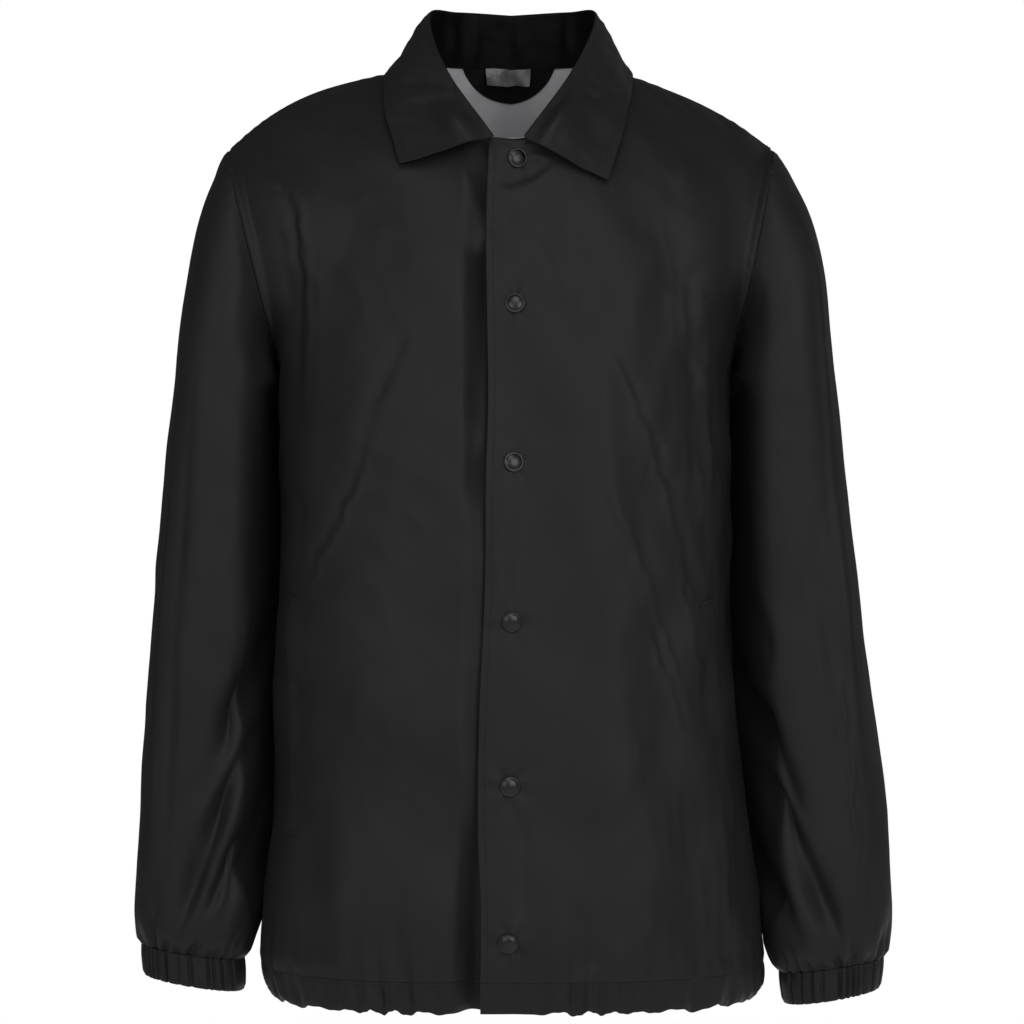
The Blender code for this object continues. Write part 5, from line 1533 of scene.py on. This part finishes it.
collar_sheet = dressed_collar()
# The stand's face, from the neck seam half way round the roll, gets a far darker copy of the black nylon:
# painted shade, for the shadow inside the neck.
stand_painted_shade = woven_nylon("stand_painted_shade", 0.0010, 0.0018, 0.65, 0.004, 0.12)
collar = cloth_shell("collar_cloth", [collar_sheet], COLLAR_WALL, [black_nylon, black_nylon])
collar.data.materials.append(stand_painted_shade)
painted_shade_faces = np.zeros(len(collar.data.polygons), int)
painted_shade_faces[: (STAND_ROWS + ROLL_ROWS // 2) * (len(collar_sheet.points[0]) - 1)] = 2
collar.data.polygons.foreach_set("material_index", painted_shade_faces)
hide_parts("collar")
leaf_from = STAND_ROWS + ROLL_ROWS
leaf_sheet = Sheet(collar_sheet.points[leaf_from:], collar_sheet.normals[leaf_from:], False)
lines = [inset_line(leaf_sheet, edge, COLLAR_STITCH) for edge in ("last", "near", "far")]
collar_sewing = sewing("collar_sewing", lines, black_thread)

# Inside the back neck a half-moon patch of black nylon is sewn on to the grey wrong side, below the
# collar seam. Its curved edge is turned under and stitched.
STRIP_WALL = 0.0010
BACK_NECK_MARGIN = 0.0012
PATCH_HALF_WIDTH = 0.039
PATCH_MIDDLE = -0.0020
PATCH_RADIUS = 0.0403
PATCH_DEPTH = 0.0275
PATCH_END_DEPTH = 0.0014
PATCH_COLUMNS = 60
PATCH_ROWS = 24
PATCH_STITCH = 0.002


def places_on(sheets):
    """A finder of the nearest points of some sheets, seen square from the front or back."""
    points = np.concatenate([sheet.points.reshape(-1, 3) for sheet in sheets])
    normals = np.concatenate([sheet.normals.reshape(-1, 3) for sheet in sheets])
    tree = KDTree(len(points))
    for number, point in enumerate(points):
        tree.insert((point[0], 0, point[2]), number)
    tree.balance()
    return points, normals, tree


def on_cloth(finder, x, z):
    """Point and facing of the cloth at a place of the front or back view."""
    points, normals, tree = finder
    weights = 0.0
    place_y = 0.0
    facing = np.zeros(3)
    for _, number, away in tree.find_n((x, 0, z), 4):
        point = points[number]
        normal = normals[number]
        y = point[1] - (normal[0] * (x - point[0]) + normal[2] * (z - point[2])) / normal[1]
        weight = 1 / (away + 0.0001)
        weights += weight
        place_y += weight * y
        facing += weight * normal
    return np.array([x, place_y / weights, z]), unit(facing)


def back_neck_top(x):
    """Height of the back cloth's neck edge at a place across, with a small margin below it."""
    edge = backs[LEFT if x >= 0 else RIGHT].points[NECK_ROW["back"] :, 0]
    return np.interp(abs(x), np.abs(edge[:, 0]), edge[:, 2]) - BACK_NECK_MARGIN


def inside_back(columns_x, depths, stacks):
    """A sheet inside the back neck: a row for each level, hung down from the neck edge."""
    points = []
    normals = []
    for level_depths, stack in zip(depths, stacks):
        for x, deep in zip(columns_x, level_depths):
            place, facing = on_cloth(back_finder, x, back_neck_top(x) - deep)
            points.append(place - facing * (CLOTH + stack))
            normals.append(-facing)
    shape = (len(depths), len(columns_x), 3)
    return Sheet(np.array(points).reshape(shape), np.array(normals).reshape(shape), True)


upper_backs = [Sheet(b.points[LOWER_ROWS:], b.normals[LOWER_ROWS:], False) for b in backs.values()]
back_finder = places_on(upper_backs)
share = np.sin(np.linspace(-np.pi / 2, np.pi / 2, PATCH_COLUMNS + 1))
patch_x = share * PATCH_HALF_WIDTH
patch_depth = np.sqrt(PATCH_RADIUS**2 - patch_x**2) - PATCH_RADIUS + PATCH_DEPTH
patch_depth = np.maximum(patch_depth, PATCH_END_DEPTH)
levels = np.linspace(0, 1, PATCH_ROWS + 1)
patch_sheet = inside_back(
    PATCH_MIDDLE + patch_x, levels[:, None] * patch_depth, np.full(len(levels), SEAM_GAP + STRIP_WALL)
)
patch_nylon = woven_nylon("patch_nylon", 0.0045, 0.0060, 0.65, 0.01, 0.12)
patch = cloth_shell("neck_patch_cloth", [patch_sheet], STRIP_WALL, [patch_nylon])
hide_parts("neck_patch")
lines = [inset_line(patch_sheet, "last", PATCH_STITCH)]
patch_sewing = sewing("neck_patch_sewing", lines, black_thread)

# A blank label of light grey woven satin hangs from the neck seam over the patch. It is sewn in along
# its top, and its loose lower edge sags and ripples.
LABEL_WALL = 0.0006
LABEL_LEFT = -0.0210
LABEL_RIGHT = 0.0165
LABEL_TOP = 0.0018
LABEL_DEPTH = 0.0106
LABEL_HANG = 0.0022
LABEL_COLUMNS = 60
LABEL_ROWS = 20
LABEL_RIPPLE = 0.0014
LABEL_WAVE = 0.0042
LABEL_WAVE_LEAN = 2.6
LABEL_FINE_WAVE = 0.0024
LABEL_FINE_LEAN = 3.4


def woven_satin(name, dark, light):
    """Light satin ribbon: long floating threads that catch the light along one way."""
    made, tree, shader = new_finish(name, light)
    place = add_node(tree, "ShaderNodeTexCoord")
    floats = add_node(tree, "ShaderNodeTexWave", Scale=900.0, bands_direction="Y", Distortion=0.6)
    tree.links.new(place.outputs["UV"], floats.inputs["Vector"])
    soft = add_node(tree, "ShaderNodeTexNoise", Scale=90.0, Detail=3.0)
    tree.links.new(place.outputs["Object"], soft.inputs["Vector"])
    tree.links.new(two_tones(tree, soft.outputs["Fac"], dark, light, 0.3, 0.7), shader.inputs["Base Color"])
    threads = add_node(tree, "ShaderNodeBump", Strength=0.15, Distance=0.0001)
    tree.links.new(floats.outputs["Fac"], threads.inputs["Height"])
    tree.links.new(threads.outputs["Normal"], shader.inputs["Normal"])
    shader.inputs["Roughness"].default_value = 0.32
    shader.inputs["Sheen Weight"].default_value = 0.2
    return made


label_x = np.linspace(LABEL_LEFT, LABEL_RIGHT, LABEL_COLUMNS + 1)
levels = np.linspace(0, 1, LABEL_ROWS + 1)
label_depth = (LABEL_TOP + levels[:, None] * LABEL_DEPTH) * np.ones(len(label_x))
label_stack = SEAM_GAP * 3 + STRIP_WALL + LABEL_WALL + LABEL_HANG * levels
label_sheet = inside_back(label_x, label_depth, label_stack)
ripple = np.sin(label_x / LABEL_WAVE - LABEL_WAVE_LEAN * levels[:, None])
ripple += 0.5 * np.sin(label_x / LABEL_FINE_WAVE - LABEL_FINE_LEAN * levels[:, None])
sag = LABEL_RIPPLE * levels[:, None] * (1 + ripple)
label_points = label_sheet.points + label_sheet.normals * sag[..., None]
label_sheet = Sheet(label_points, label_sheet.normals, True)
label_satin = woven_satin("label_satin", 0.085, 0.130)
label = cloth_shell("neck_label_cloth", [label_sheet], LABEL_WALL, [label_satin])
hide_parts("neck_label")

# The pocket edges are narrow double strips of the nylon, one on each front. Each is sewn on along its
# inner side, stands off a little at its outer side, and is barred with close stitches at each end.
POCKET_TOP = -0.432
POCKET_BOTTOM = -0.605
POCKET_FROM = 9 / 14
POCKET_TO = 10 / 14
POCKET_COLUMNS = 14
POCKET_WALL = 0.0005
POCKET_FLAT = 0.0001
POCKET_RISE = 0.0016
POCKET_LEAN = {RIGHT: 0.0, LEFT: 0.050}
BAR_ROWS = (0.0026, 0.0032, 0.0038)


def pocket_strip(sheet, lean):
    """A strip of the front's own form, rising to its free edge. Its top leans to the middle."""
    heights = sheet.points[: LOWER_ROWS + 1, 0, 2]
    rows = np.where((heights > POCKET_BOTTOM) & (heights < POCKET_TOP))[0][:, None]
    at = np.linspace(POCKET_FROM, POCKET_TO, POCKET_COLUMNS + 1)[None, :]
    at = (at - lean * np.linspace(0, 1, len(rows))[:, None]) * FRONT_COLUMNS
    low = np.floor(at).astype(int)
    part = (at - low)[..., None]
    grids = [grid[rows, low] * (1 - part) + grid[rows, low + 1] * part for grid in sheet[:2]]
    normals = unit(grids[1])
    lift = POCKET_FLAT + POCKET_RISE * smooth_step(0, 1, np.linspace(0, 1, POCKET_COLUMNS + 1))
    return Sheet(grids[0] + normals * lift[None, :, None], normals, sheet.flipped)


for side in (RIGHT, LEFT):
    strip_sheet = pocket_strip(fronts[side], POCKET_LEAN[side])
    strip = cloth_shell(
        "pocket_edge_" + WORD[side] + "_strip", [strip_sheet], POCKET_WALL, [black_nylon]
    )
    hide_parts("pocket_edge_" + WORD[side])
    lines = [inset_line(strip_sheet, edge, row) for edge in ("first", "last") for row in BAR_ROWS]
    strip_sewing = sewing("pocket_edge_" + WORD[side] + "_sewing", lines, black_thread)

# Six snap caps run down the lap. Each is a pressed metal dome with a rolled rim, painted glossy black,
# riveted through the cloth.
SNAP_RISE = 0.0026
SNAP_SEGMENTS = 48
SNAP_SEAT = 0.6
CapRing = namedtuple("CapRing", "radius rise")
SNAP_PROFILE = (
    CapRing(0.90, 0.00),
    CapRing(0.97, 0.06),
    CapRing(1.00, 0.20),
    CapRing(0.985, 0.36),
    CapRing(0.94, 0.46),
    CapRing(0.89, 0.46),
    CapRing(0.85, 0.42),
    CapRing(0.82, 0.46),
    CapRing(0.76, 0.60),
    CapRing(0.64, 0.76),
    CapRing(0.48, 0.89),
    CapRing(0.28, 0.97),
    CapRing(0.12, 1.00),
)


def painted_metal(name, value):
    """Pressed metal under glossy black paint, worn a little lighter in small specks."""
    made, tree, shader = new_finish(name, value)
    place = add_node(tree, "ShaderNodeTexCoord")
    specks = add_node(tree, "ShaderNodeTexNoise", Scale=700.0, Detail=4.0)
    tree.links.new(place.outputs["Object"], specks.inputs["Vector"])
    colour = two_tones(tree, specks.outputs["Fac"], value, value * 1.5, 0.45, 0.75)
    tree.links.new(colour, shader.inputs["Base Color"])
    gloss = add_node(tree, "ShaderNodeMapRange")
    gloss.inputs["To Min"].default_value = 0.22
    gloss.inputs["To Max"].default_value = 0.38
    tree.links.new(specks.outputs["Fac"], gloss.inputs["Value"])
    tree.links.new(gloss.outputs["Result"], shader.inputs["Roughness"])
    shader.inputs["Metallic"].default_value = 0.85
    shader.inputs["Coat Weight"].default_value = 0.15
    shader.inputs["Coat Roughness"].default_value = 0.2
    return made


def snap_cap(name, finder, x, z):
    """A round cap, pressed a little into the cloth under its rim."""
    place, facing = on_cloth(finder, x, z)
    side_way = unit(np.cross((0, 0, 1), facing))
    up_way = np.cross(facing, side_way)
    turns = np.linspace(0, 2 * np.pi, SNAP_SEGMENTS, endpoint=False)
    spokes = np.cos(turns)[:, None] * side_way + np.sin(turns)[:, None] * up_way
    rims = [on_cloth(finder, *(place + SNAP_RADIUS * spoke)[[0, 2]])[0] for spoke in spokes]
    highest = max(0.0, max((rim - place) @ facing for rim in rims))
    base = place + facing * (highest * SNAP_SEAT + SEAM_GAP)
    vertices = [base]
    for ring in SNAP_PROFILE:
        vertices.extend(base + SNAP_RISE * ring.rise * facing + SNAP_RADIUS * ring.radius * spokes)
    vertices.append(base + SNAP_RISE * facing)
    top = len(vertices) - 1
    last = 1 + (len(SNAP_PROFILE) - 1) * SNAP_SEGMENTS
    faces = []
    for step in range(SNAP_SEGMENTS):
        after = (step + 1) % SNAP_SEGMENTS
        faces.append((0, 1 + after, 1 + step))
        for low in range(1, last, SNAP_SEGMENTS):
            high = low + SNAP_SEGMENTS
            faces.append((low + step, low + after, high + after, high + step))
        faces.append((last + step, last + after, top))
    return mesh_piece(name, [tuple(v) for v in vertices], faces, [snap_paint])


snap_paint = painted_metal("snap_paint", 0.024)
lap_finder = places_on([fronts[LEFT]])
for number, (snap, snap_x) in enumerate(zip(SNAPS, SNAPS_X), 1):
    cap = snap_cap(f"snap_cap_{number}", lap_finder, snap_x, snap.height)
    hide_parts(f"snap_{number}")

# Soft studio light: a pale tent that is brightest in front, a lamp on either side of the camera, one
# high above it and two behind the garment, which hangs over a plain pale floor, against white.
FLOOR_Z = -1.10
FLOOR_RADIUS = 2.0
FLOOR_SEGMENTS = 96
TENT_FRONT = 0.33
TENT_BEHIND = 0.05
TENT_WAY = (-0.15, 1.0, 0.35)
TENT_TURN = (-0.30, 0.35)

Lamp = namedtuple("Lamp", "name x y z size watts")
LAMPS = (
    Lamp("left_lamp", 1.00, -2.30, 0.20, 1.3, 16.0),
    Lamp("right_lamp", -1.10, -2.20, 0.10, 1.3, 10.0),
    Lamp("front_lamp", 0.00, -2.10, 1.60, 1.3, 14.0),
    Lamp("back_left_lamp", 1.80, 1.90, 0.70, 1.0, 75.0),
    Lamp("back_right_lamp", -1.50, 2.20, -0.10, 1.6, 12.0),
)
LAMP_AIM = np.array([0.0, 0.0, -0.35])

# The lamps behind light the far edges of the cloth, and don't glint in it
for lamp in LAMPS:
    light = bpy.data.lights.new(lamp.name, "AREA")
    light.energy = lamp.watts
    light.size = lamp.size
    holder = bpy.data.objects.new(lamp.name, light)
    holder.location = (lamp.x, lamp.y, lamp.z)
    away = unit(np.array([lamp.x, lamp.y, lamp.z]) - LAMP_AIM)
    holder.rotation_euler = (math.acos(away[2]), 0, math.atan2(away[0], -away[1]))
    holder.visible_glossy = lamp.y < 0
    bpy.context.scene.collection.objects.link(holder)

floor_finish, floor_tree, floor_shader = new_finish("pale_floor", 0.85)
floor_place = add_node(floor_tree, "ShaderNodeTexCoord")
floor_noise = add_node(floor_tree, "ShaderNodeTexNoise", Scale=3.0, Detail=4.0)
floor_tree.links.new(floor_place.outputs["Object"], floor_noise.inputs["Vector"])
floor_colour = two_tones(floor_tree, floor_noise.outputs["Fac"], 0.83, 0.87, 0.3, 0.7)
floor_tree.links.new(floor_colour, floor_shader.inputs["Base Color"])
floor_shader.inputs["Roughness"].default_value = 0.9
floor_turns = np.linspace(0, 2 * np.pi, FLOOR_SEGMENTS, endpoint=False)
floor_edge = [(FLOOR_RADIUS * math.cos(t), FLOOR_RADIUS * math.sin(t), FLOOR_Z) for t in floor_turns]
floor_mesh = bpy.data.meshes.new("floor")
floor_mesh.from_pydata(floor_edge, [], [tuple(range(FLOOR_SEGMENTS))])
floor_mesh.materials.append(floor_finish)
floor = bpy.data.objects.new("floor", floor_mesh)
bpy.context.scene.collection.objects.link(floor)

studio = bpy.data.worlds.new("studio")
studio.use_nodes = True
bpy.context.scene.world = studio
sky_tree = studio.node_tree
seen = add_node(sky_tree, "ShaderNodeLightPath")
sky_place = add_node(sky_tree, "ShaderNodeTexCoord")
sky_way = add_node(sky_tree, "ShaderNodeVectorMath", operation="DOT_PRODUCT")
sky_way.inputs[1].default_value = TENT_WAY
sky_tree.links.new(sky_place.outputs["Generated"], sky_way.inputs[0])
tent = add_node(sky_tree, "ShaderNodeMapRange")
tent.inputs["From Min"].default_value = TENT_TURN[0]
tent.inputs["From Max"].default_value = TENT_TURN[1]
tent.inputs["To Min"].default_value = TENT_FRONT
tent.inputs["To Max"].default_value = TENT_BEHIND
sky_tree.links.new(sky_way.outputs["Value"], tent.inputs["Value"])
strength = add_node(sky_tree, "ShaderNodeMapRange")
strength.inputs["To Max"].default_value = 1.0
sky_tree.links.new(tent.outputs["Result"], strength.inputs["To Min"])
sky_tree.links.new(seen.outputs["Is Camera Ray"], strength.inputs["Value"])
sky = sky_tree.nodes["Background"]
sky.inputs["Color"].default_value = (1.0, 1.0, 1.0, 1.0)
sky_tree.links.new(strength.outputs["Result"], sky.inputs["Strength"])
bpy.context.scene.view_settings.view_transform = "Standard"
